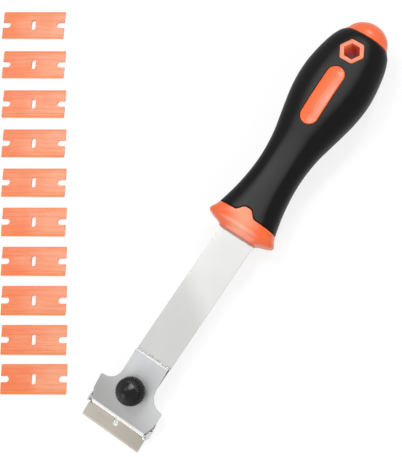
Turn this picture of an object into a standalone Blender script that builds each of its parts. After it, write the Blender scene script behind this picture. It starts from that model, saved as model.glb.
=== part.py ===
"""Scraper with a razor blade clamped in a bent steel holder, and the ten plastic blades of its set.

Metres, +Z up. The tool lies along X on the bench at z = 0 with its blade towards +X. The plastic
blades lie flat in a slightly fanned column on its -Y side. Setbacks are measured back from the
cutting edge of the mounted blade, along the head.
"""
import math

import bmesh
import bpy
from mathutils import Matrix, Vector

# Fits and cuts
GAP = 0.0003
CRIMP_GAP = 0.00015
OVERRUN = 0.004
WELD_DISTANCE = 0.000001

# Mounted razor blade and the folded spine along its back
BLADE_LENGTH = 0.0390
BLADE_HEIGHT = 0.0184
BLADE_THICKNESS = 0.0003
BLADE_BEVEL = 0.0012
BLADE_EDGE = 0.00008
SLOT_SETBACK = 0.0051
SLOT_LENGTH = 0.0068
SLOT_WIDTH = 0.0032
NOTCH_SETBACK = 0.0084
NOTCH_WIDTH = 0.0038
NOTCH_DEPTH = 0.0045
NOTCH_RADIUS = 0.0012
SPINE_COVERAGE = 0.0056
SPINE_WALL = 0.0003

# Holder: one stamped strip that is tang, shank and head, bent at the knee
STRIP_THICKNESS = 0.0012
SHANK_WIDTH = 0.0227
SHANK_EXPOSED = 0.0806
HEAD_LENGTH = 0.0504
HEAD_BEND = math.radians(14)
KNEE_RADIUS = 0.0040
BLADE_REACH = 0.0066
FRONT_INSET = 0.0005
FRONT_RADIUS = 0.0012
TANG_LENGTH = 0.0600
TANG_SHOULDER = 0.0060
TANG_WIDTH = 0.0140
TANG_RADIUS = 0.0020
RECESS_CLEARANCE = 0.0004

# Locating lug for the blade's slot, and the two ears that hook into its side notches
LUG_WIDTH = 0.0024
LUG_LENGTH = 0.0038
LUG_INSET = 0.0004
EAR_CLEARANCE = 0.0004
EAR_WALL = 0.0010
EAR_HEIGHT = 0.0026
EAR_LENGTH = 0.0060
EAR_HOOK = 0.0016
EAR_RADIUS = 0.0014

# Cover plate that clamps the blade
COVER_THICKNESS = 0.0010
COVER_STANDOFF = 0.0026
COVER_MARGIN = 0.0002
COVER_OVERHANG = 0.0004
COVER_SHOULDER_PAST_BLADE = 0.00155
COVER_TAPER_PAST_BLADE = 0.0011
COVER_FRONT_WITHIN_BLADE = 0.00155
COVER_REAR_INSET = 0.0004
LIP_SETBACK = 0.0096
FRONT_CORNER_SETBACK = 0.0113
TAPER_SETBACK = 0.0178
SHOULDER_SETBACK = 0.0269
NECK_RADIUS = 0.0086
SHOULDER_RADIUS = 0.0009
CORNER_RADIUS = 0.0015
HEEL_RADIUS = 0.0006
LIP_RADIUS = 0.0018
LIP_ANGLE = math.radians(50)
TAB_WIDTH = 0.0070
TAB_THICKNESS = 0.0008
TAB_DEPTH = 0.0009
TAB_CLEARANCE = 0.0005

# Clamp: knob, stud, washer and nut
SCREW_SETBACK = 0.0288
STUD_RADIUS = 0.0025
STUD_CLEARANCE = 0.0003
STUD_TAIL = 0.0012
STUD_CHAMFER = 0.0006
COVER_HOLE_CLEARANCE = 0.0006
WASHER_RADIUS = 0.0068
WASHER_THICKNESS = 0.0013
NUT_FLATS = 0.0080
NUT_THICKNESS = 0.0028
SCREW_HEAD_FLATS = 0.0100
SCREW_HEAD_HEIGHT = 0.0032
KNOB_RADIUS = 0.0083
KNOB_HEIGHT = 0.0115
KNOB_SKIRT = 0.0052
KNOB_FOOT = 0.0007
FLUTE_COUNT = 36
FLUTE_DEPTH = 0.00045

# Two-shot handle
HANDLE_LENGTH = 0.1448
HANDLE_WIDTH = 0.0440
HANDLE_THICKNESS = 0.0324
GUARD_LENGTH = 0.0115
CAP_LENGTH = 0.0115
RUBBER_WALL = 0.0032
TONGUE_REACH = 0.0041
TONGUE_ROOT_WIDTH = 0.0112
TONGUE_TIP_WIDTH = 0.0060
TONGUE_TIP_RADIUS = 0.0019
INLAY_LENGTH = 0.0375
INLAY_WIDTH = 0.0110
INLAY_TO_BUTT = 0.0543
EYE_TO_BUTT = 0.0244
EYE_OUTER_FLATS = 0.0134
EYE_INNER_FLATS = 0.0087
EYE_OUTER_RADIUS = 0.0014
EYE_INNER_RADIUS = 0.0006
EYE_PROUD = 0.0002

# Loose plastic blades
LOOSE_COUNT = 10
LOOSE_LENGTH = 0.0390
LOOSE_HEIGHT = 0.0174
LOOSE_THICKNESS = 0.0012
LOOSE_FACE_THICKNESS = 0.0009
LOOSE_EDGE = 0.0003
LOOSE_BEVEL = 0.0019
LOOSE_BAND = 0.0061
LOOSE_STEP = 0.0002
LOOSE_SLOT_WIDTH = 0.0025
LOOSE_SLOT_LENGTH = 0.0060
LOOSE_SLOT_RADIUS = 0.0009
LOOSE_NOTCH_DEPTH = 0.0048
LOOSE_NOTCH_WIDTH = 0.0036
COLUMN_SIDE = 0.0545
COLUMN_PITCH = 0.02267
COLUMN_GROWTH_SHARE = 1.0157
COLUMN_LEAN = math.radians(36.4)
COLUMN_TURN = math.radians(33.36)
COLUMN_FAN = math.radians(0.312)

# Handle sections from nose to butt: place along the length, width, thickness, lift of the centre
# from the shank's line to the handle's axis, and squareness (2 is an ellipse)
HANDLE_SECTION_SHARES = (
    (0.0000, 0.541, 0.310, 0.00, 5.0),
    (0.0055, 0.543, 0.400, 0.02, 4.5),
    (0.0104, 0.573, 0.460, 0.05, 4.2),
    (0.0166, 0.723, 0.530, 0.10, 3.4),
    (0.0242, 0.891, 0.610, 0.17, 3.0),
    (0.0331, 0.973, 0.685, 0.23, 2.8),
    (0.0456, 0.959, 0.745, 0.29, 2.8),
    (0.0608, 0.893, 0.765, 0.34, 2.7),
    (0.0829, 0.839, 0.770, 0.39, 2.6),
    (0.1133, 0.787, 0.765, 0.43, 2.5),
    (0.1547, 0.725, 0.753, 0.47, 2.45),
    (0.2027, 0.673, 0.735, 0.52, 2.4),
    (0.2579, 0.632, 0.716, 0.58, 2.4),
    (0.3204, 0.619, 0.710, 0.66, 2.4),
    (0.3757, 0.640, 0.735, 0.74, 2.4),
    (0.4309, 0.689, 0.784, 0.82, 2.4),
    (0.4862, 0.770, 0.852, 0.90, 2.4),
    (0.5483, 0.865, 0.926, 0.96, 2.4),
    (0.6105, 0.948, 0.975, 1.00, 2.4),
    (0.6657, 0.991, 1.000, 1.00, 2.4),
    (0.7141, 1.000, 1.000, 1.00, 2.4),
    (0.7617, 0.977, 0.985, 1.00, 2.4),
    (0.8170, 0.918, 0.950, 1.00, 2.4),
    (0.8667, 0.841, 0.895, 1.00, 2.35),
    (0.9033, 0.743, 0.815, 1.00, 2.3),
    (0.9158, 0.684, 0.765, 1.00, 2.25),
    (0.9206, 0.659, 0.742, 1.00, 2.2),
    (0.9337, 0.605, 0.685, 1.00, 2.2),
    (0.9517, 0.550, 0.630, 1.00, 2.15),
    (0.9679, 0.473, 0.545, 1.00, 2.1),
    (0.9820, 0.364, 0.420, 1.00, 2.0),
    (0.9931, 0.218, 0.250, 1.00, 2.0),
    (1.0000, 0.000, 0.000, 1.00, 2.0),
)
RING_SPACING_SHARE = 0.06
RING_POINTS = 32

# Knob rings: height as a share of the skirt up to 1 and of the dome from 1 to 2, radius, and flute
KNOB_RING_SHARES = (
    (0.00, 0.905, 0.0),
    (0.05, 0.970, 0.6),
    (0.16, 1.000, 1.0),
    (0.75, 0.988, 1.0),
    (1.00, 0.957, 1.0),
    (1.17, 0.905, 1.0),
    (1.33, 0.820, 0.8),
    (1.48, 0.705, 0.3),
    (1.53, 0.660, 0.0),
    (1.70, 0.500, 0.0),
    (1.85, 0.335, 0.0),
    (1.96, 0.165, 0.0),
)
FLUTE_POINT_SHARES = (0.0, 0.75, 0.75)

# Derived places
ARC_LENGTH = (KNEE_RADIUS + STRIP_THICKNESS / 2) * HEAD_BEND
BLADE_BOTTOM = GAP
BLADE_TOP = BLADE_BOTTOM + BLADE_THICKNESS
EDGE_LOW = BLADE_BOTTOM + (BLADE_THICKNESS - BLADE_EDGE) / 2
KNEE_TOP_RADIUS = KNEE_RADIUS + STRIP_THICKNESS
SHANK_TOP = (KNEE_TOP_RADIUS * (1 - math.cos(HEAD_BEND)) + HEAD_LENGTH * math.sin(HEAD_BEND)
             - EDGE_LOW * math.cos(HEAD_BEND))
SHANK_MIDDLE = SHANK_TOP - STRIP_THICKNESS / 2
HANDLE_AXIS = HANDLE_THICKNESS / 2
NOSE_X = -SHANK_EXPOSED
BUTT_X = NOSE_X - HANDLE_LENGTH
GRIP_FRONT_X = NOSE_X - GUARD_LENGTH
GRIP_BACK_X = BUTT_X + CAP_LENGTH
GUARD_BACK_X = GRIP_FRONT_X + GAP / 2
CAP_FRONT_X = GRIP_BACK_X - GAP / 2
COVER_SHOULDER = BLADE_LENGTH / 2 + COVER_SHOULDER_PAST_BLADE
COVER_TAPER = BLADE_LENGTH / 2 + COVER_TAPER_PAST_BLADE
COVER_FRONT = BLADE_LENGTH / 2 - COVER_FRONT_WITHIN_BLADE
COVER_TOP = COVER_STANDOFF + COVER_THICKNESS
WASHER_FLOOR = COVER_TOP + GAP
KNOB_FLOOR = WASHER_FLOOR + WASHER_THICKNESS + GAP
NUT_TOP = -STRIP_THICKNESS - GAP
NUT_FLOOR = NUT_TOP - NUT_THICKNESS
STUD_HOLE_RADIUS = STUD_RADIUS + STUD_CLEARANCE
EAR_INNER = BLADE_LENGTH / 2 + EAR_CLEARANCE
EAR_OUTER = EAR_INNER + EAR_WALL
EAR_SETBACK = NOTCH_SETBACK + EAR_CLEARANCE


def head_x(setback):
    """Place along the head of something this far back from the cutting edge."""
    return HEAD_LENGTH - setback


def collection(name):
    made = bpy.data.collections.new(name)
    bpy.context.scene.collection.children.link(made)
    return made


def material(name, colour, roughness, metallic):
    made = bpy.data.materials.new(name)
    made.use_nodes = True
    shader = made.node_tree.nodes["Principled BSDF"]
    shader.inputs["Base Color"].default_value = (*colour, 1)
    shader.inputs["Roughness"].default_value = roughness
    shader.inputs["Metallic"].default_value = metallic
    made.diffuse_color = (*colour, 1)
    return made


def clean(mesh):
    """Weld loose caps and point every face outwards."""
    bm = bmesh.new()
    bm.from_mesh(mesh)
    bmesh.ops.remove_doubles(bm, verts=bm.verts, dist=WELD_DISTANCE)
    bmesh.ops.recalc_face_normals(bm, faces=bm.faces)
    bm.to_mesh(mesh)
    bm.free()
    return mesh


def evaluated_mesh(obj):
    """The object's mesh with its modifiers applied."""
    bpy.context.view_layer.update()
    return bpy.data.meshes.new_from_object(obj.evaluated_get(bpy.context.evaluated_depsgraph_get()))


def solid(name, mesh):
    made = bpy.data.objects.new(name, mesh)
    PIECES.objects.link(made)
    return made


def bake(obj):
    """Apply the object's modifiers."""
    obj.data = clean(evaluated_mesh(obj))
    obj.modifiers.clear()
    return obj


def combine(target, other, operation):
    """Boolean the other solid into the target, apply it, and keep the other as a cutter or a guide."""
    modifier = target.modifiers.new(operation.title(), "BOOLEAN")
    modifier.operation = operation
    modifier.solver = "EXACT"
    modifier.object = other
    PIECES.objects.unlink(other)
    CUTTERS.objects.link(other)
    other.hide_render = True
    other.display_type = "WIRE"
    return bake(target)


def finish(obj, finish_material, parent, origin=(0, 0, 0), sharp=math.radians(35)):
    """Bake the piece, move its origin, and hang it on its parent with its material."""
    bake(obj)
    obj.data.transform(Matrix.Translation(-Vector(origin)))
    obj.location = origin
    obj.parent = parent
    obj.data.materials.clear()
    obj.data.materials.append(finish_material)
    obj.data.shade_smooth()
    obj.data.set_sharp_from_angle(angle=sharp)
    return obj


def empty(name, parent, location, tilt=0):
    made = bpy.data.objects.new(name, None)
    PIECES.objects.link(made)
    made.empty_display_size = KNOB_RADIUS
    made.location = location
    made.rotation_euler = (0, tilt, 0)
    made.parent = parent
    return made


def rounded(corners, steps=4):
    """Outline through (x, y, radius) corners, each turned with its own radius."""
    points = []
    for index, (x, y, radius) in enumerate(corners):
        here = Vector((x, y))
        if radius == 0:
            points.append(here)
            continue
        before = (Vector(corners[index - 1][:2]) - here).normalized()
        after = (Vector(corners[(index + 1) % len(corners)][:2]) - here).normalized()
        half = before.angle(after) / 2
        centre = here + (before + after).normalized() * (radius / math.sin(half))
        start = here + before * (radius / math.tan(half)) - centre
        turn = math.copysign(math.pi - 2 * half, -before.cross(after))
        for step in range(steps + 1):
            points.append(centre + Matrix.Rotation(turn * step / steps, 2) @ start)
    return points


def circle(x, y, radius, count=24):
    turns = [2 * math.pi * step / count for step in range(count)]
    return [Vector((x + radius * math.cos(turn), y + radius * math.sin(turn))) for turn in turns]


def hexagon(x, y, flats, radius):
    """Hexagon with corners to both sides and flats to front and back."""
    reach = flats / math.sqrt(3)
    turns = [math.pi / 2 + math.pi / 3 * corner for corner in range(6)]
    return rounded([(x + reach * math.cos(turn), y + reach * math.sin(turn), radius) for turn in turns])


def mirrored(half_corners):
    """Whole outline from the corners of its +Y half, listed from front to back."""
    return half_corners + [(x, -y, radius) for x, y, radius in reversed(half_corners)]


def flat_sheet(name, outlines, low, high):
    """Prism over flat outlines, where one inside another is a hole."""
    curve = bpy.data.curves.new(name, "CURVE")
    curve.dimensions = "2D"
    curve.fill_mode = "BOTH"
    curve.extrude = (high - low) / 2
    for outline in outlines:
        spline = curve.splines.new("POLY")
        spline.points.add(len(outline) - 1)
        for point, (x, y) in zip(spline.points, outline):
            point.co = (x, y, 0, 1)
        spline.use_cyclic_u = True
    guide = bpy.data.objects.new(name, curve)
    PIECES.objects.link(guide)
    mesh = evaluated_mesh(guide)
    bpy.data.objects.remove(guide)
    bpy.data.curves.remove(curve)
    mesh.transform(Matrix.Translation((0, 0, (low + high) / 2)))
    return solid(name, clean(mesh))


def across(name, outline, width):
    """Prism along Y over an outline given in X and Z."""
    made = flat_sheet(name, [outline], -width / 2, width / 2)
    made.data.transform(Matrix.Rotation(math.pi / 2, 4, "X"))
    return made


def block(name, low, high):
    """Box between two corners."""
    bm = bmesh.new()
    bmesh.ops.create_cube(bm, size=1)
    size = Vector(high) - Vector(low)
    middle = (Vector(high) + Vector(low)) / 2
    bmesh.ops.transform(bm, verts=bm.verts, matrix=Matrix.Translation(middle) @ Matrix.Diagonal((*size, 1)))
    mesh = bpy.data.meshes.new(name)
    bm.to_mesh(mesh)
    bm.free()
    return solid(name, mesh)


def turned(name, profile, segments, closed=False):
    """Shape turned about Z from (radius, height) points that run down its outer side."""
    mesh = bpy.data.meshes.new(name)
    edges = [(step, step + 1) for step in range(len(profile) - 1)]
    if closed:
        edges.append((len(profile) - 1, 0))
    mesh.from_pydata([(radius, 0, height) for radius, height in profile], edges, [])
    made = solid(name, mesh)
    screw = made.modifiers.new("Turn", "SCREW")
    screw.steps = segments
    screw.render_steps = segments
    screw.use_merge_vertices = True
    screw.merge_threshold = WELD_DISTANCE
    return bake(made)


def loft(name, rings):
    """Closed skin through rings of equal count, with flat ends or, where a ring is one point, a pole."""
    bm = bmesh.new()
    rows = [[bm.verts.new(point) for point in ring] for ring in rings]
    for row, following in zip(rows, rows[1:]):
        for index in range(max(len(row), len(following))):
            loop = [row[index % len(row)], row[(index + 1) % len(row)],
                    following[(index + 1) % len(following)], following[index % len(following)]]
            bm.faces.new(list(dict.fromkeys(loop)))
    for row in (rows[0], rows[-1]):
        if len(row) > 1:
            bm.faces.new(row)
    bmesh.ops.recalc_face_normals(bm, faces=bm.faces)
    mesh = bpy.data.meshes.new(name)
    bm.to_mesh(mesh)
    bm.free()
    return solid(name, mesh)


def trace(start, heading, moves):
    """Points and headings along straight runs (length) and round turns (radius, angle)."""
    x, z = start
    path = [(x, z, heading)]
    for move in moves:
        if len(move) == 1:
            x += move[0] * math.cos(heading)
            z += move[0] * math.sin(heading)
            path.append((x, z, heading))
            continue
        radius, angle = move
        side = math.copysign(1, angle)
        centre_x = x - side * radius * math.sin(heading)
        centre_z = z + side * radius * math.cos(heading)
        steps = 5
        for step in range(1, steps + 1):
            now = heading + angle * step / steps
            x = centre_x + side * radius * math.sin(now)
            z = centre_z - side * radius * math.cos(now)
            path.append((x, z, now))
        heading += angle
    return path


def thickened(path, thickness):
    """Outline of a sheet that is bent along a path."""
    half = thickness / 2
    left = [Vector((x - half * math.sin(turn), z + half * math.cos(turn))) for x, z, turn in path]
    right = [Vector((x + half * math.sin(turn), z - half * math.cos(turn))) for x, z, turn in path]
    return left + right[::-1]


def spline_value(column, share):
    """Smooth value of one column of the handle's sections at a share of its length."""
    rows = HANDLE_SECTION_SHARES
    last = len(rows) - 1
    index = max(i for i in range(last) if rows[i][0] <= share or i == 0)
    before, low, high, after = (rows[min(max(i, 0), last)] for i in range(index - 1, index + 3))
    span = high[0] - low[0]
    slope_low = (high[column] - before[column]) / (high[0] - before[0]) * span
    slope_high = (after[column] - low[column]) / (after[0] - low[0]) * span
    t = (share - low[0]) / span
    return (low[column] * (2 * t ** 3 - 3 * t ** 2 + 1) + slope_low * (t ** 3 - 2 * t ** 2 + t)
            + high[column] * (3 * t ** 2 - 2 * t ** 3) + slope_high * (t ** 3 - t ** 2))


def handle_section(x):
    """Half width, half thickness, centre height and squareness of the handle at x."""
    share = (NOSE_X - x) / HANDLE_LENGTH
    centre = SHANK_MIDDLE + (HANDLE_AXIS - SHANK_MIDDLE) * spline_value(3, share)
    return (HANDLE_WIDTH / 2 * spline_value(1, share), HANDLE_THICKNESS / 2 * spline_value(2, share),
            centre, spline_value(4, share))


def section_ring(x, inset=0):
    """Points round the handle's section at x, drawn in by the inset."""
    width, thickness, centre, squareness = handle_section(x)
    ring = []
    for step in range(RING_POINTS):
        turn = 2 * math.pi * step / RING_POINTS
        across_share = math.copysign(abs(math.cos(turn)) ** (2 / squareness), math.cos(turn))
        up_share = math.copysign(abs(math.sin(turn)) ** (2 / squareness), math.sin(turn))
        ring.append((x, (width - inset) * across_share, centre + (thickness - inset) * up_share))
    return ring


def handle_body(name, front_x, back_x, inset=0):
    """Stretch of the handle's form between two places, with rings at its sections and between."""
    low, high = ((NOSE_X - x) / HANDLE_LENGTH for x in (front_x, back_x))
    shares = [low] + [row[0] for row in HANDLE_SECTION_SHARES if low < row[0] < high] + [high]
    rings = []
    for share, following in zip(shares, shares[1:]):
        pieces = max(1, math.ceil((following - share) / RING_SPACING_SHARE))
        for piece in range(pieces):
            rings.append(section_ring(NOSE_X - HANDLE_LENGTH * (share + (following - share) * piece / pieces), inset))
    if high < 1:
        rings.append(section_ring(back_x, inset))
    else:
        rings.append([(BUTT_X, 0, HANDLE_AXIS)])
    return loft(name, rings)


def bend_knee(obj):
    """Bend the flat blank down about the knee, with cuts across it along the bend."""
    bm = bmesh.new()
    bm.from_mesh(obj.data)
    steps = 4
    for step in range(steps + 1):
        everything = bm.verts[:] + bm.edges[:] + bm.faces[:]
        bmesh.ops.bisect_plane(bm, geom=everything, plane_co=(ARC_LENGTH * step / steps, 0, 0),
                               plane_no=(1, 0, 0), dist=WELD_DISTANCE)
    middle = STRIP_THICKNESS / 2
    for vert in bm.verts:
        x, y, z = vert.co
        if x <= 0:
            continue
        turn = min(x / ARC_LENGTH, 1) * HEAD_BEND
        reach = KNEE_RADIUS + middle + z + middle
        beyond = max(x - ARC_LENGTH, 0)
        vert.co = (reach * math.sin(turn) + beyond * math.cos(turn), y,
                   reach * math.cos(turn) - KNEE_TOP_RADIUS - beyond * math.sin(turn))
    bmesh.ops.recalc_face_normals(bm, faces=bm.faces)
    bm.to_mesh(obj.data)
    bm.free()


def make_base_plate():
    """Stamped strip: tang, shank, knee and head, with ears, lug, recess and two openings."""
    def blank_x(setback):
        return ARC_LENGTH + head_x(setback)

    front = BLADE_LENGTH / 2 - FRONT_INSET
    shoulder = COVER_SHOULDER - COVER_OVERHANG
    shoulder_x = blank_x(SHOULDER_SETBACK - COVER_OVERHANG)
    shank = SHANK_WIDTH / 2
    tang_x = NOSE_X - TANG_SHOULDER
    outline = rounded(mirrored([
        (blank_x(BLADE_REACH), front, FRONT_RADIUS),
        (blank_x(EAR_SETBACK), front, GAP),
        (blank_x(EAR_SETBACK), EAR_OUTER, EAR_RADIUS),
        (blank_x(EAR_SETBACK + EAR_LENGTH), EAR_OUTER, 0),
        (shoulder_x, shoulder, SHOULDER_RADIUS),
        (shoulder_x, shank, NECK_RADIUS),
        (tang_x, shank, TANG_RADIUS),
        (tang_x, TANG_WIDTH / 2, 0),
        (NOSE_X - TANG_LENGTH, TANG_WIDTH / 2, TANG_RADIUS),
    ]))
    hole = circle(blank_x(SCREW_SETBACK), 0, STUD_HOLE_RADIUS)
    tab_middle = ARC_LENGTH + COVER_MARGIN + COVER_THICKNESS / 2
    slot_x = TAB_THICKNESS / 2 + TAB_CLEARANCE
    slot_y = TAB_WIDTH / 2 + TAB_CLEARANCE
    slot = [(tab_middle - slot_x, -slot_y), (tab_middle + slot_x, -slot_y),
            (tab_middle + slot_x, slot_y), (tab_middle - slot_x, slot_y)]
    plate = flat_sheet("base_plate", [outline, hole, slot], -STRIP_THICKNESS, 0)
    lug_front = blank_x(BLADE_REACH + LUG_INSET)
    lug = flat_sheet("lug", [rounded(mirrored([
        (lug_front, LUG_WIDTH / 2, LUG_INSET),
        (lug_front - LUG_LENGTH, LUG_WIDTH / 2, LUG_INSET),
    ]))], -STRIP_THICKNESS / 2, BLADE_TOP)
    combine(plate, lug, "UNION")
    for side in (1, -1):
        ear_front = blank_x(EAR_SETBACK)
        corners = [
            (ear_front - EAR_LENGTH, EAR_INNER, 0),
            (ear_front - EAR_LENGTH, EAR_OUTER, EAR_WALL / 3),
            (ear_front, EAR_OUTER, EAR_RADIUS),
            (ear_front, EAR_INNER - EAR_HOOK, EAR_WALL / 3),
            (ear_front - EAR_WALL, EAR_INNER - EAR_HOOK, EAR_WALL / 3),
            (ear_front - EAR_WALL, EAR_INNER, EAR_WALL / 3),
        ]
        ear = flat_sheet("ear", [rounded([(x, side * y, radius) for x, y, radius in corners])],
                         -STRIP_THICKNESS / 2, EAR_HEIGHT)
        combine(plate, ear, "UNION")
    recess_front = blank_x(BLADE_HEIGHT - SPINE_COVERAGE - RECESS_CLEARANCE)
    recess_back = blank_x(BLADE_HEIGHT + CRIMP_GAP + SPINE_WALL + RECESS_CLEARANCE)
    recess = block("spine_recess", (recess_back, -EAR_INNER, -CRIMP_GAP - SPINE_WALL),
                   (recess_front, EAR_INNER, OVERRUN))
    combine(plate, recess, "DIFFERENCE")
    bake(plate)
    bend_knee(plate)
    plate.data.transform(Matrix.Translation((0, 0, SHANK_TOP)))
    return finish(plate, STEEL, TOOL)


def make_cover():
    """Cover plate: one sheet with a turned-down heel and lip, cut to its plan, with hole and tab."""
    middle = COVER_STANDOFF + COVER_THICKNESS / 2
    heel_rise = middle - HEEL_RADIUS - GAP
    tip_middle = BLADE_TOP + GAP + COVER_THICKNESS / 2 * math.cos(LIP_ANGLE)
    lip_fall = middle - tip_middle - LIP_RADIUS * (1 - math.cos(LIP_ANGLE))
    lip_run = lip_fall / math.sin(LIP_ANGLE)
    lip_reach = (LIP_RADIUS * math.sin(LIP_ANGLE) + lip_run * math.cos(LIP_ANGLE)
                 + COVER_THICKNESS / 2 * math.sin(LIP_ANGLE))
    flat_run = (head_x(LIP_SETBACK) - lip_reach
                - COVER_MARGIN - COVER_THICKNESS / 2 - HEEL_RADIUS)
    path = trace((COVER_MARGIN + COVER_THICKNESS / 2, GAP), math.pi / 2,
                 [(heel_rise,), (HEEL_RADIUS, -math.pi / 2), (flat_run,), (LIP_RADIUS, -LIP_ANGLE), (lip_run,)])
    cover = across("cover_plate", thickened(path, COVER_THICKNESS), COVER_SHOULDER * 2 + OVERRUN)
    shoulder_x = head_x(SHOULDER_SETBACK)
    plan = flat_sheet("cover_plan", [rounded(mirrored([
        (head_x(LIP_SETBACK) + OVERRUN, COVER_FRONT, 0),
        (head_x(FRONT_CORNER_SETBACK), COVER_FRONT, CORNER_RADIUS),
        (head_x(TAPER_SETBACK), COVER_TAPER, CORNER_RADIUS),
        (shoulder_x, COVER_SHOULDER, SHOULDER_RADIUS),
        (shoulder_x, SHANK_WIDTH / 2, NECK_RADIUS),
        (COVER_MARGIN - COVER_REAR_INSET, SHANK_WIDTH / 2 - COVER_REAR_INSET, CORNER_RADIUS),
    ]), steps=6)], -OVERRUN, OVERRUN)
    combine(cover, plan, "INTERSECT")
    hole = flat_sheet("cover_hole", [circle(head_x(SCREW_SETBACK), 0, STUD_RADIUS + COVER_HOLE_CLEARANCE)],
                      -OVERRUN, OVERRUN)
    combine(cover, hole, "DIFFERENCE")
    tab_middle = COVER_MARGIN + COVER_THICKNESS / 2
    tab = block("tab", (tab_middle - TAB_THICKNESS / 2, -TAB_WIDTH / 2, -TAB_DEPTH),
                (tab_middle + TAB_THICKNESS / 2, TAB_WIDTH / 2, GAP + heel_rise / 2))
    combine(cover, tab, "UNION")
    return finish(cover, STEEL, HEAD, origin=(COVER_MARGIN, 0, GAP))


def make_blade():
    """Steel blade with a ground edge, a centre slot and two side notches."""
    edge_high = EDGE_LOW + BLADE_EDGE
    section = [(head_x(0), EDGE_LOW), (head_x(0), edge_high),
               (head_x(BLADE_BEVEL), BLADE_TOP), (head_x(BLADE_HEIGHT), BLADE_TOP),
               (head_x(BLADE_HEIGHT), BLADE_BOTTOM), (head_x(BLADE_BEVEL), BLADE_BOTTOM)]
    blade = across("razor_blade", section, BLADE_LENGTH)
    slot = flat_sheet("blade_slot", [rounded(mirrored([
        (head_x(SLOT_SETBACK), SLOT_WIDTH / 2, SLOT_WIDTH / 2 - GAP),
        (head_x(SLOT_SETBACK + SLOT_LENGTH), SLOT_WIDTH / 2, SLOT_WIDTH / 2 - GAP),
    ]))], -OVERRUN, OVERRUN)
    combine(blade, slot, "DIFFERENCE")
    for side in (1, -1):
        outer = side * (BLADE_LENGTH / 2 + OVERRUN)
        inner = side * (BLADE_LENGTH / 2 - NOTCH_DEPTH)
        front, back = head_x(NOTCH_SETBACK), head_x(NOTCH_SETBACK + NOTCH_WIDTH)
        notch = flat_sheet("blade_notch", [rounded([(front, outer, 0), (front, inner, NOTCH_RADIUS),
                                                    (back, inner, NOTCH_RADIUS), (back, outer, 0)])],
                           -OVERRUN, OVERRUN)
        combine(blade, notch, "DIFFERENCE")
    return finish(blade, BLADE_STEEL, HEAD)


def make_spine():
    """Folded strip crimped over the blade's back."""
    front = head_x(BLADE_HEIGHT - SPINE_COVERAGE)
    inner_back = head_x(BLADE_HEIGHT + CRIMP_GAP)
    outer_back = inner_back - SPINE_WALL
    inner_low, inner_high = BLADE_BOTTOM - CRIMP_GAP, BLADE_TOP + CRIMP_GAP
    outer_low, outer_high = inner_low - SPINE_WALL, inner_high + SPINE_WALL
    outline = rounded([(front, outer_high, 0), (outer_back, outer_high, SPINE_WALL),
                       (outer_back, outer_low, SPINE_WALL), (front, outer_low, 0),
                       (front, inner_low, 0), (inner_back, inner_low, 0),
                       (inner_back, inner_high, 0), (front, inner_high, 0)])
    return finish(across("blade_spine", outline, BLADE_LENGTH), SPINE_STEEL, HEAD)


def make_knob():
    """Fluted knob that goes over to a smooth dome, with a pocket for the screw's head below."""
    rings = []
    count = FLUTE_COUNT * len(FLUTE_POINT_SHARES)
    for height_share, radius_share, flute in KNOB_RING_SHARES:
        height = KNOB_SKIRT * min(height_share, 1) + (KNOB_HEIGHT - KNOB_SKIRT) * max(height_share - 1, 0)
        ring = []
        for step in range(count):
            turn = 2 * math.pi * step / count
            dip = FLUTE_DEPTH * flute * FLUTE_POINT_SHARES[step % len(FLUTE_POINT_SHARES)]
            radius = KNOB_RADIUS * radius_share - dip
            ring.append((radius * math.cos(turn), radius * math.sin(turn), KNOB_FLOOR + height))
        rings.append(ring)
    rings.append([(0, 0, KNOB_FLOOR + KNOB_HEIGHT)])
    knob = loft("knob", rings)
    head_gap_flats = SCREW_HEAD_FLATS + GAP * 2
    pocket_top = KNOB_FLOOR + KNOB_FOOT + SCREW_HEAD_HEIGHT + GAP
    pocket = flat_sheet("head_pocket", [hexagon(0, 0, head_gap_flats, 0)], KNOB_FLOOR - OVERRUN, pocket_top)
    combine(knob, pocket, "DIFFERENCE")
    return finish(knob, KNOB_PLASTIC, CLAMP)


def make_screw():
    """Stud with the hexagonal head that the knob is moulded over."""
    head_floor = KNOB_FLOOR + KNOB_FOOT
    tip = NUT_FLOOR - STUD_TAIL
    middle = head_floor + SCREW_HEAD_HEIGHT / 2
    profile = [(0, middle), (STUD_RADIUS, middle), (STUD_RADIUS, tip + STUD_CHAMFER),
               (STUD_RADIUS - STUD_CHAMFER, tip), (0, tip)]
    screw = turned("clamp_screw", profile, 32)
    head = flat_sheet("screw_head", [hexagon(0, 0, SCREW_HEAD_FLATS, 0)], head_floor,
                      head_floor + SCREW_HEAD_HEIGHT)
    combine(screw, head, "UNION")
    return finish(screw, SCREW_STEEL, CLAMP)


def make_washer():
    """Plain washer between knob and cover."""
    inner = STUD_RADIUS + STUD_CLEARANCE
    top = WASHER_FLOOR + WASHER_THICKNESS
    profile = [(inner, WASHER_FLOOR), (inner, top), (WASHER_RADIUS, top), (WASHER_RADIUS, WASHER_FLOOR)]
    return finish(turned("washer", profile, 40, closed=True), SCREW_STEEL, CLAMP)


def make_nut():
    """Hexagonal weld nut under the head."""
    nut = flat_sheet("nut", [hexagon(0, 0, NUT_FLATS, 0), circle(0, 0, STUD_HOLE_RADIUS)], NUT_FLOOR, NUT_TOP)
    return finish(nut, SCREW_STEEL, CLAMP)


def tongue_outline(front_x):
    """Plan of the tongue that runs back into the rubber, its slanted sides drawn out to front_x."""
    root, tip = TONGUE_ROOT_WIDTH / 2, TONGUE_TIP_WIDTH / 2
    tip_x = GUARD_BACK_X - TONGUE_REACH
    front = root + (root - tip) / TONGUE_REACH * (front_x - GUARD_BACK_X)
    return rounded(mirrored([(front_x, front, 0), (tip_x, tip, TONGUE_TIP_RADIUS)]))


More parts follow.
